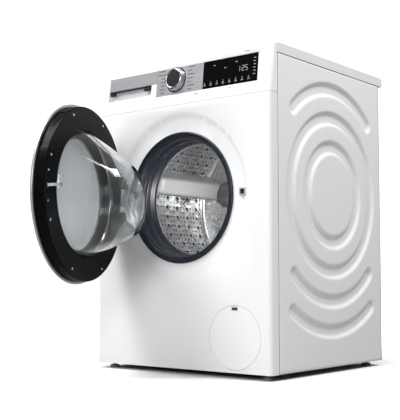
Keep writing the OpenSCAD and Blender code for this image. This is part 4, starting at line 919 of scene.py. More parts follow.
@dataclass
class Door:
    """The porthole door at its opening angle: silver rim, black ring, pane and glass bowl."""

    centre_z: float = 0.468
    hinge_x: float = -0.214
    hinge_y: float = -0.3119
    opening_deg: float = 70.5
    rim_y: float = -0.324
    face_y: float = -0.293
    rim_r: float = 0.232
    face_r: float = 0.225
    window_r: float = 0.150
    glass_r: float = 0.164
    nose_r: float = 0.084
    nose_d: float = 0.134
    nose_drop: float = 0.023
    bowl_wall: float = 0.005
    steps: int = 224

    def open_up(self, points: Array) -> Array:
        """Turns points of the closed door about the hinge to the opening angle.

        Args:
            points: Points of the closed door.

        Returns:
            The same points on the open door.
        """
        angle = -math.radians(self.opening_deg)
        c, s = math.cos(angle), math.sin(angle)
        x, y = points[..., 0] - self.hinge_x, points[..., 1] - self.hinge_y
        return np.stack([self.hinge_x + c * x - s * y, self.hinge_y + s * x + c * y,
                         points[..., 2]], -1)

    def trim_ring(self, shop: Workshop) -> None:
        """The silver outer rim: a rounded section turned about the door's axis.

        Args:
            shop: The workshop.
        """
        rim, y = self.rim_r * 1000, self.rim_y * 1000
        window = self.window_r * 1000
        section = np.array([
            [rim, y + 3], [rim, y - 2], [rim - 4, y - 5], [rim - 20, y - 8], [rim - 45, y - 11],
            [window + 8, y - 13], [window + 0.3, y - 11], [window + 0.3, y - 6],
            [window - 4, y - 6], [window - 4, y - 3], [window + 10, y - 3], [window + 10, y - 9],
            [rim - 45, y - 8], [rim - 20, y - 5], [rim - 5, y - 2], [rim - 5, y],
            [self.face_r * 1000, y], [self.face_r * 1000, y + 3]]) * MM
        obj = turned("door_rim", fillet(section, 0.0012, 3), (0, 0, self.centre_z), self.steps,
                     self.open_up)
        shop.add(obj, "door", "door_silver", "door_trim_ring")

    def pane(self, shop: Workshop) -> None:
        """The outer pane: a shallow lens turned about the door's axis.

        Args:
            shop: The workshop.
        """
        r, y = self.window_r * 1000, self.rim_y * 1000
        front = np.linspace(0, r - 6, 18)
        crown = y - 15 + 3.5 * (front / (r - 6)) ** 2
        back = np.linspace(r - 10, 0, 18)
        hollow = y - 12.5 + 3.5 * (back / (r - 10)) ** 2
        section = np.concatenate([np.stack([front, crown], 1),
                                  [[r - 1, y - 9.5], [r, y - 8], [r, y - 6.1], [r - 6, y - 6.1]],
                                  np.stack([back, hollow], 1)]) * MM
        obj = turned("door_pane_lens", section, (0, 0, self.centre_z), self.steps, self.open_up)
        shop.add(obj, "door", "door_pane", "door_window")

    def bowl(self, shop: Workshop) -> None:
        """The glass bowl: rings whose radius and height drop change with depth.

        A point is (r(s) cos t, y(s), z0 - drop(s) + r(s) sin t). The outer path runs from the
        flange to the nose, the inner one back again, one wall thickness inside.

        Args:
            shop: The workshop.
        """
        flange_y = self.face_y - 0.006
        outer = rounded_path(np.array([
            [self.glass_r + 0.0045, flange_y, 0.0], [self.glass_r - 0.002, flange_y, 0.0],
            [self.glass_r - 0.002, self.face_y + 0.002, 0.0],
            [self.nose_r + 0.014, self.face_y + self.nose_d * 0.86, self.nose_drop * 0.9],
            [self.nose_r - 0.004, self.face_y + self.nose_d - 0.0015, self.nose_drop],
            [0.0, self.face_y + self.nose_d, self.nose_drop]]), 0.014, 0.004)
        wall = self.bowl_wall
        inner = rounded_path(np.array([
            [self.glass_r - 0.002 - wall, flange_y - 0.004, 0.0],
            [self.glass_r - 0.0022 - wall, self.face_y + 0.001, 0.0],
            [self.nose_r + 0.014 - wall, self.face_y + self.nose_d * 0.86 - wall,
             self.nose_drop * 0.9],
            [self.nose_r - 0.004 - wall, self.face_y + self.nose_d - wall, self.nose_drop],
            [0.0, self.face_y + self.nose_d - wall, self.nose_drop]]), 0.014, 0.004)
        flange = np.array([[self.glass_r + 0.0065, flange_y - 0.002, 0.0],
                           [self.glass_r + 0.0055, flange_y - 0.004, 0.0]])
        path = np.concatenate([outer, inner[::-1], flange[::-1]])
        t = np.linspace(0, 2 * np.pi, self.steps, endpoint=False)[:, None]
        r, y, drop = (path[:, k][None, :] for k in range(3))
        points = np.stack([r * np.cos(t), np.broadcast_to(y, (self.steps, len(path))),
                           self.centre_z - drop + r * np.sin(t)], -1)
        faces = quads_of_grid(self.steps, len(path), True, True)
        obj = new_object("door_bowl", self.open_up(points), faces, 50)
        shop.add(obj, "door", "bowl_glass", "door_glass_bowl")

    def build(self, shop: Workshop) -> None:
        """Makes and dresses the door.

        Args:
            shop: The workshop.
        """
        self.trim_ring(shop)
        self.pane(shop)
        self.bowl(shop)
        shop.rounded("door_inner_ring", "door", "door_black", 0.0010, 3)
        shop.rounded("door_screws", "door", "bright_steel", 0.0005, 2)
        shop.rounded("door_hinge_leaf", "door", "cast_zinc", 0.0008, 2)
        shop.rounded("door_latch_hook", "latch", "bright_steel", 0.0008, 2)


# --------------------------------------------------------------------------- tub and drum


@dataclass
class Drum:
    """The stainless drum with its dimples and punched holes, its paddles and its drive."""

    centre_z: float = 0.468
    mouth_r: float = 0.151
    radius: float = 0.238
    mouth_y: float = -0.211
    back_y: float = 0.107
    sheet: float = 0.001
    cells_around: int = 52
    cell_rows: int = 6
    row_pitch: float = 0.046
    first_row_y: float = -0.160
    dimple_r: float = 0.0095
    dimple_depth: float = 0.0036
    press_share: float = 0.4
    paddle_clear: float = 0.175
    small_hole_r: float = 0.0027
    big_hole_r: float = 0.0050
    paddle_angles: tuple[float, ...] = (163.0, 43.0, -77.0)

    def dimple(self, t: Array, y: Array) -> Array:
        """How far the wall is pressed outwards: depth * (1 - (d / radius)^2)^2 in each cell.

        Args:
            t: Angles around the drum.
            y: Places along the drum.

        Returns:
            The press depth at each point.
        """
        cell = 2 * np.pi / self.cells_around
        across = ((t / cell + 0.5) % 1.0 - 0.5) * cell * self.radius
        row = np.clip(np.round((y - self.first_row_y) / self.row_pitch), 0, self.cell_rows - 1)
        along = y - self.first_row_y - row * self.row_pitch
        share = np.clip((across**2 + along**2) / self.dimple_r**2, 0, 1)
        return self.dimple_depth * (1 - share) ** 2

    def emboss(self, r: Array, t: Array) -> Array:
        """How far the back wall is raised: three broad lobes that fade at the rim and hub.

        Args:
            r: Radii of the points.
            t: Their angles.

        Returns:
            The raised height at each point.
        """
        ring = np.clip((r - 0.075) / 0.03, 0, 1) * np.clip((0.200 - r) / 0.025, 0, 1)
        lobes = 0.5 + 0.5 * np.cos(3 * (t - math.radians(self.paddle_angles[0] + 60)))
        return 0.005 * ring**2 * (3 - 2 * ring) * np.clip(2.2 * lobes - 0.6, 0, 1)

    def shell(self, shop: Workshop) -> None:
        """The drum's shell: an inner path and its offset, turned, then pressed and embossed.

        Args:
            shop: The workshop.
        """
        inner_r, back = self.radius - self.sheet, self.back_y - self.sheet
        path = rounded_path(np.array([
            [self.mouth_r + 0.001, self.mouth_y - 0.002], [self.mouth_r, self.mouth_y + 0.002],
            [self.mouth_r + 0.006, self.mouth_y + 0.004], [inner_r - 0.014, self.mouth_y + 0.013],
            [inner_r, self.mouth_y + 0.026], [inner_r, back], [0.061, back],
            [0.051, back - 0.008], [0.0, back - 0.008]]), 0.011, 0.0039)
        tangent = np.gradient(path, axis=0)
        normal = np.stack([-tangent[:, 1], tangent[:, 0]], 1)
        normal /= np.linalg.norm(normal, axis=1, keepdims=True)
        outer = path - self.sheet * normal
        outer[-1, 0] = 0.0
        section = np.concatenate([path, outer[::-1]])
        steps = self.cells_around * 8
        t = np.linspace(0, 2 * np.pi, steps, endpoint=False)[:, None]
        r = np.broadcast_to(section[:, 0][None, :], (steps, len(section)))
        y = np.broadcast_to(section[:, 1][None, :], (steps, len(section)))
        on_wall = r > inner_r - 0.0005
        on_back = y > back - 0.0005
        pressed = r + np.where(on_wall, self.dimple(t, y), 0.0) * self.press_share
        raised = y - np.where(on_back, self.emboss(r, t), 0.0)
        points = np.stack([pressed * np.cos(t), raised, self.centre_z + pressed * np.sin(t)], -1)
        obj = new_object("drum_skin", points, quads_of_grid(steps, len(section), True, True), 50)
        shop.add(obj, "drum", "stainless", "drum_shell")

    def punched_holes(self, shop: Workshop) -> None:
        """The punched holes as painted shade: dark lens-shaped discs on the wall, one large and four
        small a cell.

        Each disc has a rim of eight points and two poles a little in front of and behind the wall.

        Args:
            shop: The workshop.
        """
        cell = 2 * np.pi / self.cells_around
        cells = np.arange(self.cells_around)[:, None]
        rows = np.arange(self.cell_rows)[None, :]
        t0 = cells * cell + 0.0 * rows
        y0 = self.first_row_y + rows * self.row_pitch + 0.0 * cells
        small = np.array([[0.0, -0.36], [0.5, -0.36], [0.0, 0.36], [0.5, 0.36]])
        t_small = (t0[..., None] + small[:, 0] * cell).ravel()
        y_small = (y0[..., None] + small[:, 1] * self.row_pitch).ravel()
        t_big, y_big = t0.ravel(), y0.ravel()
        t_all = np.concatenate([t_small, t_big])
        y_all = np.concatenate([y_small, y_big])
        size = np.concatenate([np.full(t_small.size, self.small_hole_r),
                               np.full(t_big.size, self.big_hole_r)])
        press = self.press_share * self.dimple_depth
        rim_press = press * (1 - (self.big_hole_r / self.dimple_r) ** 2) ** 2
        depth = np.concatenate([np.zeros(t_small.size), np.full(t_big.size, press)])
        rim_depth = np.concatenate([np.zeros(t_small.size), np.full(t_big.size, rim_press)])
        keep = y_all < self.back_y - 0.012
        for angle in self.paddle_angles:
            away = (t_all - math.radians(angle) + np.pi) % (2 * np.pi) - np.pi
            keep &= np.abs(away) > self.paddle_clear
        t_all, y_all, size, depth, rim_depth = (v[keep][:, None] for v in
                                                (t_all, y_all, size, depth, rim_depth))
        wall = self.radius - self.sheet + depth
        rim_wall = self.radius - self.sheet + rim_depth
        a = np.linspace(0, 2 * np.pi, 8, endpoint=False)[None, :]
        ring_t = t_all + size * np.cos(a) / wall
        ring_y = y_all + size * np.sin(a)
        ring_r = np.broadcast_to(rim_wall - 0.0003, ring_t.shape)
        poles_r = np.concatenate([wall - 0.0005, wall + 0.0004], 1)
        r = np.concatenate([ring_r, poles_r], 1)
        t = np.concatenate([ring_t, t_all, t_all], 1)
        y = np.concatenate([ring_y, y_all, y_all], 1)
        points = np.stack([r * np.cos(t), y, self.centre_z + r * np.sin(t)], -1)
        k = np.arange(8)
        fan = np.concatenate([np.stack([k, (k + 1) % 8, np.full(8, 8)], 1),
                              np.stack([(k + 1) % 8, k, np.full(8, 9)], 1)])
        faces = fan[None] + 10 * np.arange(len(points))[:, None, None]
        obj = new_object("drum_punched_holes", points, faces.reshape(-1, 3), 20)
        shop.add(obj, "drum", "punched_holes", "drum_shell", stands_for=False)

    def paddles(self, shop: Workshop) -> None:
        """Three bars: one rounded section carried along the drum, lower and narrower in front.

        Args:
            shop: The workshop.
        """
        foot_r = 0.2368
        section = fillet(np.array([[0.1763, -0.0195], [0.1763, 0.0195], [0.1825, 0.0245],
                                   [foot_r, 0.0375], [foot_r, -0.0375], [0.1825, -0.0245]]),
                         0.0045, 5)
        y = np.concatenate([np.linspace(-0.178, -0.150, 8), np.linspace(-0.140, 0.1055, 12)])
        rise = np.clip((y + 0.184) / 0.034, 0, 1)
        swell = np.sqrt(1 - (1 - rise) ** 2)[:, None]
        radial = foot_r - (foot_r - section[:, 0][None, :]) * (0.35 + 0.65 * swell)
        across = section[:, 1][None, :] * (0.8 + 0.2 * swell)
        grids, faces = [], []
        for index, angle in enumerate(np.radians(self.paddle_angles)):
            c, s = math.cos(angle), math.sin(angle)
            grid = np.stack([radial * c - across * s, np.broadcast_to(y[:, None], radial.shape),
                             self.centre_z + radial * s + across * c], -1)
            grid = close_ends(grid)
            grids.append(grid.reshape(-1, 3))
            faces.append(quads_of_grid(*grid.shape[:2], False, True)
                         + index * grid.shape[0] * grid.shape[1])
        obj = new_object("drum_lifters", np.concatenate(grids), np.concatenate(faces), 28)
        shop.add(obj, "drum", "paddle_grey", "drum_paddles")

    def back_caps(self, shop: Workshop) -> None:
        """Rounded dark caps where each paddle meets the back wall: domes with a steep shoulder.

        The height over an ellipse is h * (1 - q^4), where q is the share of its half axes.

        Args:
            shop: The workshop.
        """
        rings, steps = 12, 40
        q = np.linspace(0, 1, rings)[:, None]
        a = np.linspace(0, 2 * np.pi, steps, endpoint=False)[None, :]
        height = 0.016 * (1 - q**4) + 0 * a
        u = 0.150 + 0.038 * q * np.cos(a)
        v = 0.040 * q * np.sin(a)
        y_front = self.back_y - 0.0035 - height
        y_back = np.full_like(y_front, self.back_y - 0.0015)
        grids, faces, count = [], [], 0
        for angle in np.radians(self.paddle_angles):
            c, s = math.cos(angle), math.sin(angle)
            for y in (y_front, y_back):
                grid = np.stack([u * c - v * s, y, self.centre_z + u * s + v * c], -1)
                grids.append(grid.reshape(-1, 3))
                faces.append(quads_of_grid(rings, steps, False, True) + count)
                count += rings * steps
            rim = count - steps + np.arange(steps)
            nxt = count - steps + (np.arange(steps) + 1) % steps
            faces.append(np.stack([rim - rings * steps, nxt - rings * steps, nxt, rim], 1))
        obj = new_object("drum_back_caps", np.concatenate(grids), np.concatenate(faces), 40)
        shop.add(obj, "drum", "cap_grey", "drum_paddles", stands_for=False)

    def build(self, shop: Workshop) -> None:
        """Makes and dresses the drum.

        Args:
            shop: The workshop.
        """
        self.shell(shop)
        self.punched_holes(shop)
        self.paddles(shop)
        self.back_caps(shop)
        shop.rounded("drum_spider", "drum", "cast_alloy", 0.0025, 2)
        shop.rounded("drum_pulley", "drum", "cast_alloy", 0.0015, 2)
        shop.dress_node("motor_rotor", "rotor_steel")


@dataclass
class Tub:
    """The sprung tub: shells, weights, motor, dampers, springs, hoses and the door gasket."""

    centre_z: float = 0.468
    dish_y: float = -0.283
    collar_y: float = -0.236
    mouth_r: float = 0.165
    spring_x: float = 0.232
    spring_z: tuple[float, float] = (0.6022, 0.7978)
    spring_r: float = 0.010
    wire_r: float = 0.002
    turns: int = 13
    sump_ripples: int = 26

    def gasket(self, shop: Workshop) -> None:
        """The rubber gasket: a folded section turned about the drum's axis.

        It spans between the cabinet's lip and the tub's collar. Its inner lip covers the gap in
        front of the drum's mouth.

        Args:
            shop: The workshop.
        """
        r, y0, y1 = self.mouth_r * 1000, self.dish_y * 1000, self.collar_y * 1000
        seat = r - 0.9
        section = np.array([
            [r + 11.5, y0 - 0.1], [r + 12, y0 - 3.5], [r + 9, y0 - 6], [r + 4, y0 - 5],
            [r + 1, y0 - 2.5], [r - 2, y0 - 3.5], [r - 5.5, y0 + 1], [r - 7, y0 + 8],
            [r - 7, y0 + 17], [r - 3, y0 + 24], [r - 2.5, y0 + 29], [r - 8, y0 + 35],
            [r - 8, y0 + 40], [158, y1 + 4], [153, y1 + 15], [152.6, y1 + 17.5],
            [154.6, y1 + 17.5], [159.5, y1 + 6], [160, y1 - 0.1], [seat, y1 - 0.1],
            [seat, y1 + 10], [seat + 3.9, y1 + 10], [seat + 3.9, y1 - 4], [seat - 1, y1 - 9],
            [seat + 4.5, y1 - 15], [seat + 4.5, y1 - 21], [seat - 0.5, y0 + 19],
            [164.8, y0 + 17.6], [164.8, y0 - 0.1]]) * MM
        obj = turned("gasket_bellows", fillet(section, 0.0028, 5), (0, 0, self.centre_z), 256)
        shop.paint(obj, "gasket_rubber")
        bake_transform(obj)
        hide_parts("door_gasket")
        log.info("%s made", obj.name)

    def sump_bellows(self, shop: Workshop) -> None:
        """The corrugated sump hose: a tube whose radius is r0 + a cos(2 pi length / pitch).

        Args:
            shop: The workshop.
        """
        path = rounded_path(np.array([
            [0, -100, 192], [0, -100, 162], [8, -110, 132], [52, -140, 88], [95.6, -194, 80],
            [137.6, -200, 80]]) * MM, 0.022, 0.0011)
        share = np.linspace(0, 1, len(path))
        ripples = np.clip(np.minimum(share - 0.14, 0.80 - share) * 30, 0, 1)
        radius = 0.0184 + 0.0011 * ripples * np.cos(2 * np.pi * share * self.sump_ripples)
        rings = tube(path, radius, 40)
        obj = new_object("sump_bellows", rings, quads_of_grid(*rings.shape[:2], False, True), 50)
        shop.paint(obj, "hose_rubber")
        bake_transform(obj)
        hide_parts("sump_hose")
        log.info("%s made", obj.name)

    def springs(self, shop: Workshop) -> None:
        """Two hanger springs: wire carried along a helix, closer wound at both ends.

        Args:
            shop: The workshop.
        """
        share = np.linspace(0, 1, self.turns * 26)
        even = share - 0.035 * np.sin(2 * np.pi * share)
        angle = 2 * np.pi * self.turns * share
        low, high = self.spring_z
        grids, faces = [], []
        for index, side in enumerate((-1, 1)):
            path = np.stack([side * self.spring_x + self.spring_r * np.cos(angle),
                             self.spring_r * np.sin(angle), low + (high - low) * even], 1)
            rings = tube(path, self.wire_r, 8)
            grids.append(rings.reshape(-1, 3))
            faces.append(quads_of_grid(*rings.shape[:2], False, True)
                         + index * rings.shape[0] * rings.shape[1])
        obj = new_object("hanger_coils", np.concatenate(grids), np.concatenate(faces), 60)
        shop.paint(obj, "bright_steel")
        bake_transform(obj)
        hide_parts("hanger_springs")
        log.info("%s made", obj.name)

    def build(self, shop: Workshop) -> None:
        """Makes and dresses the tub and what hangs on it.

        Args:
            shop: The workshop.
        """
        self.gasket(shop)
        self.sump_bellows(shop)
        self.springs(shop)
        shop.rounded("tub_front", "tub", "tub_plastic", 0.0012, 2)
        shop.rounded("tub_rear", "tub", "tub_plastic", 0.0012, 2)
        shop.rounded("front_counterweights", "tub", "concrete", 0.004, 3)
        shop.rounded("motor_stator", "tub", "motor_grey", 0.002, 2)
        for node, finish in (("heater", "bright_steel"), ("drum_bearings", "bright_steel"),
                             ("damper_rods", "cast_zinc"), ("drive_belt", "belt_rubber")):
            shop.dress_node(node, finish)


# --------------------------------------------------------------------------- control panel


@dataclass
class ControlPanel:
    """The leaning control panel: drawer, brushed strip, display, dial and generic marks."""

    front_y: float = -0.295
    seam_z: float = 0.719
    lean_deg: float = 5.75
    dial_x: float = -0.0142
    dial_s: float = 0.071
    dial_r: float = 0.033
    dial_h: float = 0.014
    grip_x: tuple[float, float] = (-0.262, -0.108)
    grip_top: float = 0.0675

    def on_fascia(self, points: Array) -> Array:
        """Moves points from the panel's own frame to the row frame.

        Local X runs right, Y inwards and Z up the leaning face.

        Args:
            points: Points in the panel's frame.

        Returns:
            The points in the row frame.
        """
        c, s = math.cos(math.radians(self.lean_deg)), math.sin(math.radians(self.lean_deg))
        y, z = points[..., 1], points[..., 2]
        return np.stack([points[..., 0], self.front_y + y * c + z * s,
                         self.seam_z - y * s + z * c], -1)

    def marks(self, shop: Workshop, name: str, spots: Array, finish: str, lift: float,
              node: str) -> None:
        """Flat marks as thin plates on the panel's face: print, lit figures, and painted shade in a
        gap.

        Args:
            shop: The workshop.
            name: Name of the piece.
            spots: Middle x, middle height, half width and half height of each mark, in metres.
            finish: Name of the finish.
            lift: How far the face they lie on stands out, in metres.
            node: The node they lie on.
        """
        thick = 0.00006
        centres = np.stack([spots[:, 0], np.full(len(spots), -lift - thick), spots[:, 1]], 1)
        halves = np.stack([spots[:, 2], np.full(len(spots), thick), spots[:, 3]], 1)
        obj = boxes(name, centres, halves, self.on_fascia)
        shop.add(obj, "cabinet", finish, node, stands_for=False)

    def programme_marks(self) -> Array:
        """Short dashes in seven rows on each side of the dial, in place of programme names.

        Returns:
            One row for each dash: middle x, middle height, half width, half height.
        """
        rng = np.random.default_rng(4)
        spots = []
        for row in range(7):
            s = 0.1005 - 0.0104 * row
            for x_near, direction in ((-0.0515, -1), (0.0255, 1)):
                x = x_near + direction * (0.003 * abs(row - 3) * 0.4)
                for _ in range(int(rng.integers(2, 4))):
                    half = float(rng.uniform(0.0016, 0.0040))
                    spots.append([x + direction * half, s, half, 0.0014])
                    x += direction * (2 * half + 0.0018)
        return np.array(spots)

    def digits(self, text: str, x: float, s: float, width: float, height: float) -> Array:
        """Seven-segment figures; each segment is one thin bar of a figure-eight.

        Args:
            text: Figures and colons.
            x: Left end.
            s: Lower edge.
            width: Width of one figure.
            height: Height of one figure.

        Returns:
            The bars.
        """
        lit = {"0": "abcdef", "1": "bc", "2": "abged", "3": "abgcd", "4": "fgbc", "5": "afgcd"}
        w, h, t = width / 2, height / 2, width * 0.07
        bars = {"a": (0, h, w - t, t), "g": (0, 0, w - t, t), "d": (0, -h, w - t, t),
                "b": (w, h / 2, t, h / 2 - t), "c": (w, -h / 2, t, h / 2 - t),
                "f": (-w, h / 2, t, h / 2 - t), "e": (-w, -h / 2, t, h / 2 - t)}
        spots = []
        for figure in text:
            if figure == ":":
                spots += [[x, s + h + k * h * 0.45, t * 1.2, t * 1.2] for k in (-1, 1)]
                x += width * 0.55
                continue
            spots += [[x + w + bars[k][0], s + h + bars[k][1], bars[k][2], bars[k][3]]
                      for k in lit[figure]]
            x += width * 1.55
        return np.array(spots)

    def display_marks(self) -> Array:
        """The lit time, a column of small marks and a row of button marks.

        Returns:
            The marks.
        """
        time = self.digits("1:25", 0.1945, 0.0630, 0.0068, 0.0135)
        column = np.array([[0.2485 - 0.001 * (k % 2), 0.092 - 0.0085 * k, 0.0034, 0.0006]
                           for k in range(6)])
        buttons = np.array([[0.0875 + 0.0205 * k, 0.0385 + 0.0042 * r, 0.0040 - 0.0014 * r, 0.0005]
                            for k in range(8) for r in range(3)])
        icons = np.array([[0.118 + 0.036 * k, 0.090 - 0.011 * (k % 2), 0.0030, 0.0007]
                          for k in range(3)])
        return np.concatenate([time, column, buttons, icons])

    def dial(self, shop: Workshop) -> None:
        """The dial: a knurled bright collar, a dark glossy face and a pointer mark.

        The collar's section is turned about the panel's normal; its waist is knurled by adding
        a * cos(n t) to the radius.

        Args:
            shop: The workshop.
        """
        r, h = self.dial_r * 1000, self.dial_h * 1000
        section = fillet(np.array([
            [r - 11, 0.6], [r, 0.6], [r, 2.4], [r - 1.6, 3.6], [r - 2.2, h * 0.55],
            [r - 3.8, h * 0.85], [r - 6.6, h], [r - 9.0, h - 0.5], [r - 9.8, h - 2.2],
            [r - 11, h - 2.2]]) * MM, 0.0011, 5)
        steps = 360
        t = np.linspace(0, 2 * np.pi, steps, endpoint=False)[:, None]
        waist = np.clip(1 - np.abs(section[:, 1] - 0.0062) / 0.0035, 0, 1)[None, :]
        radius = section[:, 0][None, :] + 0.00028 * waist * np.cos(60 * t)
        points = np.stack([self.dial_x + radius * np.cos(t),
                           np.broadcast_to(-section[:, 1][None, :], radius.shape),
                           self.dial_s + radius * np.sin(t)], -1)
        collar = new_object("dial_collar", self.on_fascia(points),
                            quads_of_grid(steps, len(section), True, True), 40)
        shop.add(collar, "dial", "dial_chrome", "dial_ring")
        rows = 14
        q = np.linspace(0, 1, rows)[:, None]
        disc_r = (r - 9.9) * MM * q
        top = -(h - 1.6) * MM - 0.0006 * (1 - q**2) + 0 * t.T
        low = np.full_like(top, -(h - 4) * MM)
        top_ring = np.stack([self.dial_x + disc_r * np.cos(t.T), top,
                             self.dial_s + disc_r * np.sin(t.T)], -1)
        low_ring = np.stack([self.dial_x + disc_r[::-1] * np.cos(t.T), low,
                             self.dial_s + disc_r[::-1] * np.sin(t.T)], -1)
        face = new_object("dial_face_disc", self.on_fascia(np.concatenate([top_ring, low_ring])),
                          quads_of_grid(2 * rows, steps, False, True), 40)
        shop.add(face, "dial", "dial_face", "dial_ring", stands_for=False)
        mark = boxes("dial_pointer", np.array([[self.dial_x, -(h + 0.02) * MM,
                                                self.dial_s + (r - 6.8) * MM]]),
                     np.array([[0.0008, 0.0002, 0.0024]]), self.on_fascia)
        shop.add(mark, "dial", "print_and_gap_shade", "dial_ring", stands_for=False)

    def dial_groove(self, shop: Workshop) -> None:
        """Painted shade of the gap around the dial: a thin dark ring on the brushed panel.

        Args:
            shop: The workshop.
        """
        r = self.dial_r * 1000
        section = np.array([[r - 3, 0.15], [r + 2.2, 0.15], [r + 2.2, 0.3], [r - 3, 0.3]]) * MM
        steps = 128
        t = np.linspace(0, 2 * np.pi, steps, endpoint=False)[:, None]
        radius = np.broadcast_to(section[:, 0][None, :], (steps, len(section)))
        points = np.stack([self.dial_x + radius * np.cos(t),
                           np.broadcast_to(-section[:, 1][None, :], radius.shape),
                           self.dial_s + radius * np.sin(t)], -1)
        obj = new_object("dial_gap_ring", self.on_fascia(points),
                         quads_of_grid(steps, len(section), True, True), 30)
        shop.add(obj, "cabinet", "display_black", "dial_panel", stands_for=False)

    def grip_shadow(self, shop: Workshop) -> None:
        """Painted shade in the finger pocket under the grip plate, deepest at both ends, on the
        drawer.

        Args:
            shop: The workshop.
        """
        x0, x1, top = self.grip_x[0], self.grip_x[1], self.grip_top
        centres = np.array([[(x0 + x1) / 2, 0.004, top - 0.0018], [x0 + 0.008, 0.004, top - 0.006],
                            [x1 - 0.012, 0.004, top - 0.006]])
        halves = np.array([[(x1 - x0) / 2, 0.0035, 0.0016], [0.008, 0.0035, 0.0058],
                           [0.012, 0.0035, 0.0058]])
        obj = boxes("grip_pocket_shade", centres, halves, self.on_fascia)
        shop.add(obj, "drawer", "painted_shade_black", "drawer_grip_plate", stands_for=False)

    def build(self, shop: Workshop) -> None:
        """Makes and dresses the control panel.

        Args:
            shop: The workshop.
        """
        shop.rounded("drawer_front", "drawer", "white_moulding", 0.0008, 2)
        shop.rounded("drawer_grip_plate", "drawer", "trim_silver", 0.0003, 2)
        shop.rounded("drawer_tray", "drawer", "housing_plastic", 0.0006, 2)
        shop.rounded("dial_panel", "cabinet", "trim_silver", 0.0002, 2)
        shop.rounded("display_window", "cabinet", "display_black", 0.0002, 2)
        self.dial(shop)
        self.dial_groove(shop)
        self.marks(shop, "programme_marks", self.programme_marks(), "print_and_gap_shade", 0.0002,
                   "dial_panel")
        self.marks(shop, "display_marks", self.display_marks(), "print_pale", 0.0002,
                   "display_window")
        # The first mark is painted shade in the gap at the drawer's right edge; the rest are print.
        small = np.array([[-0.0829, 0.0645, 0.0005, 0.0520],
                          [0.058, 0.0215, 0.008, 0.0009], [0.171, 0.0225, 0.006, 0.0006],
                          [-0.009, 0.1140, 0.001, 0.001], [0.222, 0.1135, 0.009, 0.0007]])
        self.marks(shop, "panel_marks", small, "print_and_gap_shade", 0.0, "control_fascia")
        self.grip_shadow(shop)


# --------------------------------------------------------------------------- studio


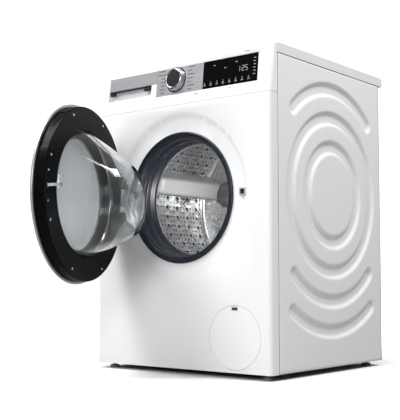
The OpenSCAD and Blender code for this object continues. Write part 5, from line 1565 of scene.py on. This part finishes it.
@dataclass
class Studio:
    """The white surroundings, the pale floor, the lights and the camera."""

    camera_at: tuple[float, float, float] = (1.5544, -2.1103, 0.2523)
    azimuth_deg: float = 39.17
    pitch_deg: float = 4.34
    lens: float = 76.95
    # Reach of the floor's painted glow: none within shadow_from of the middle, full beyond
    # shadow_to.
    shadow_from: float = 0.35
    shadow_to: float = 0.95
    glow: float = 0.26
    exposure: float = 0.30
    floor_bounce: float = 0.34
    floor_white: float = 0.93

    def floor(self) -> None:
        """A wide pale floor: a flat grid at height zero."""
        material = bpy.data.materials.new("studio_floor")
        material.use_nodes = True
        tree = material.node_tree
        shader = tree.nodes["Principled BSDF"]
        noise = tree.nodes.new("ShaderNodeTexNoise")
        noise.inputs["Scale"].default_value = 3.0
        ramp = tree.nodes.new("ShaderNodeMapRange")
        ramp.inputs["To Min"].default_value = 0.55
        ramp.inputs["To Max"].default_value = 0.7
        tree.links.new(noise.outputs["Fac"], ramp.inputs["Value"])
        tree.links.new(ramp.outputs[0], shader.inputs["Roughness"])
        shader.inputs["Specular IOR Level"].default_value = 0.2
        shader.inputs["Emission Color"].default_value = (1, 1, 1, 1)
        place = tree.nodes.new("ShaderNodeTexCoord")
        reach = tree.nodes.new("ShaderNodeVectorMath")
        reach.operation = "LENGTH"
        tree.links.new(place.outputs["Object"], reach.inputs[0])
        away = tree.nodes.new("ShaderNodeMapRange")
        away.interpolation_type = "SMOOTHSTEP"
        away.inputs["From Min"].default_value = self.shadow_from
        away.inputs["From Max"].default_value = self.shadow_to
        tree.links.new(reach.outputs["Value"], away.inputs["Value"])
        path = tree.nodes.new("ShaderNodeLightPath")
        seen = tree.nodes.new("ShaderNodeMapRange")
        seen.inputs["To Min"].default_value = self.floor_bounce
        seen.inputs["To Max"].default_value = self.floor_white
        tree.links.new(path.outputs["Is Camera Ray"], seen.inputs["Value"])
        tree.links.new(seen.outputs[0], shader.inputs["Base Color"])
        # Painted light: seen by the camera the floor glows white, not at all near the machine and
        # fully far from it, washing its far shadows and far edge out.
        lift = tree.nodes.new("ShaderNodeMath")
        lift.operation = "MULTIPLY"
        tree.links.new(away.outputs[0], lift.inputs[1])
        tree.links.new(path.outputs["Is Camera Ray"], lift.inputs[0])
        tree.links.new(lift.outputs[0], shader.inputs["Emission Strength"])
        axis = np.linspace(-12, 12, 5)
        x, y = np.meshgrid(axis, axis, indexing="ij")
        obj = new_object("studio_floor", np.stack([x, y, np.zeros_like(x)], -1),
                         quads_of_grid(5, 5, False, False))
        obj.data.materials.append(material)

    def world(self) -> bpy.types.World:
        """White behind the object, and a dimmer even glow for light and reflections.

        Returns:
            The world.
        """
        world = bpy.data.worlds.new("studio_world")
        world.use_nodes = True
        tree = world.node_tree
        glow = tree.nodes["Background"]
        glow.inputs["Color"].default_value = (1, 1, 1, 1)
        glow.inputs["Strength"].default_value = self.glow
        backdrop = tree.nodes.new("ShaderNodeBackground")
        backdrop.inputs["Color"].default_value = (1, 1, 1, 1)
        backdrop.inputs["Strength"].default_value = 1.0
        mix = tree.nodes.new("ShaderNodeMixShader")
        path = tree.nodes.new("ShaderNodeLightPath")
        tree.links.new(path.outputs["Is Camera Ray"], mix.inputs[0])
        tree.links.new(glow.outputs[0], mix.inputs[1])
        tree.links.new(backdrop.outputs[0], mix.inputs[2])
        tree.links.new(mix.outputs[0], tree.nodes["World Output"].inputs["Surface"])
        return world

    @staticmethod
    def area_light(name: str, at: Sequence[float], look: Sequence[float],
                   size: tuple[float, float], power: float) -> None:
        """A soft rectangular light.

        Args:
            name: Name of the light.
            at: Where it stands.
            look: The point it faces.
            size: Its width and height.
            power: Its power in watts.
        """
        data = bpy.data.lights.new(name, "AREA")
        data.shape = "RECTANGLE"
        data.size, data.size_y = size
        data.energy = power
        obj = bpy.data.objects.new(name, data)
        obj.location = at
        obj.rotation_euler = (Vector(look) - Vector(at)).to_track_quat("-Z", "Y").to_euler()
        bpy.context.scene.collection.objects.link(obj)

    def build(self) -> None:
        """Sets the world, the lights, the floor and the camera."""
        scene = bpy.context.scene
        scene.world = self.world()
        scene.view_settings.view_transform = "Standard"
        scene.view_settings.exposure = self.exposure
        self.floor()
        self.area_light("key_softbox", (0.9, -3.5, 1.5), (0, 0, 0.45), (1.6, 1.3), 50)
        self.area_light("top_softbox", (-0.9, -1.6, 2.9), (0, -0.2, 0.5), (1.3, 1.3), 66)
        self.area_light("side_softbox", (1.30, 0.1, 2.9), (0.3, 0.0, 0.4), (0.7, 0.7), 52)
        self.area_light("drum_lamp", (0.125, -0.180, 0.440), (-0.2, -0.03, 0.46), (0.05, 0.05), 0.95)
        camera = bpy.data.cameras.new("camera")
        camera.lens = self.lens
        camera.sensor_width = 36.0
        obj = bpy.data.objects.new("camera", camera)
        obj.location = self.camera_at
        obj.rotation_euler = (math.radians(90 + self.pitch_deg), 0,
                              math.radians(self.azimuth_deg))
        scene.collection.objects.link(obj)
        scene.camera = obj


def main() -> None:
    """Builds every sub-assembly in order and reports each piece."""
    logging.basicConfig(level=logging.INFO, format="%(name)s: %(message)s")
    shop = Workshop(frame)
    for part in (Cabinet(), Door(), Drum(), Tub(), ControlPanel()):
        log.info("building %s", type(part).__name__)
        part.build(shop)
    Studio().build()


if __name__ == "__main__":
    main()
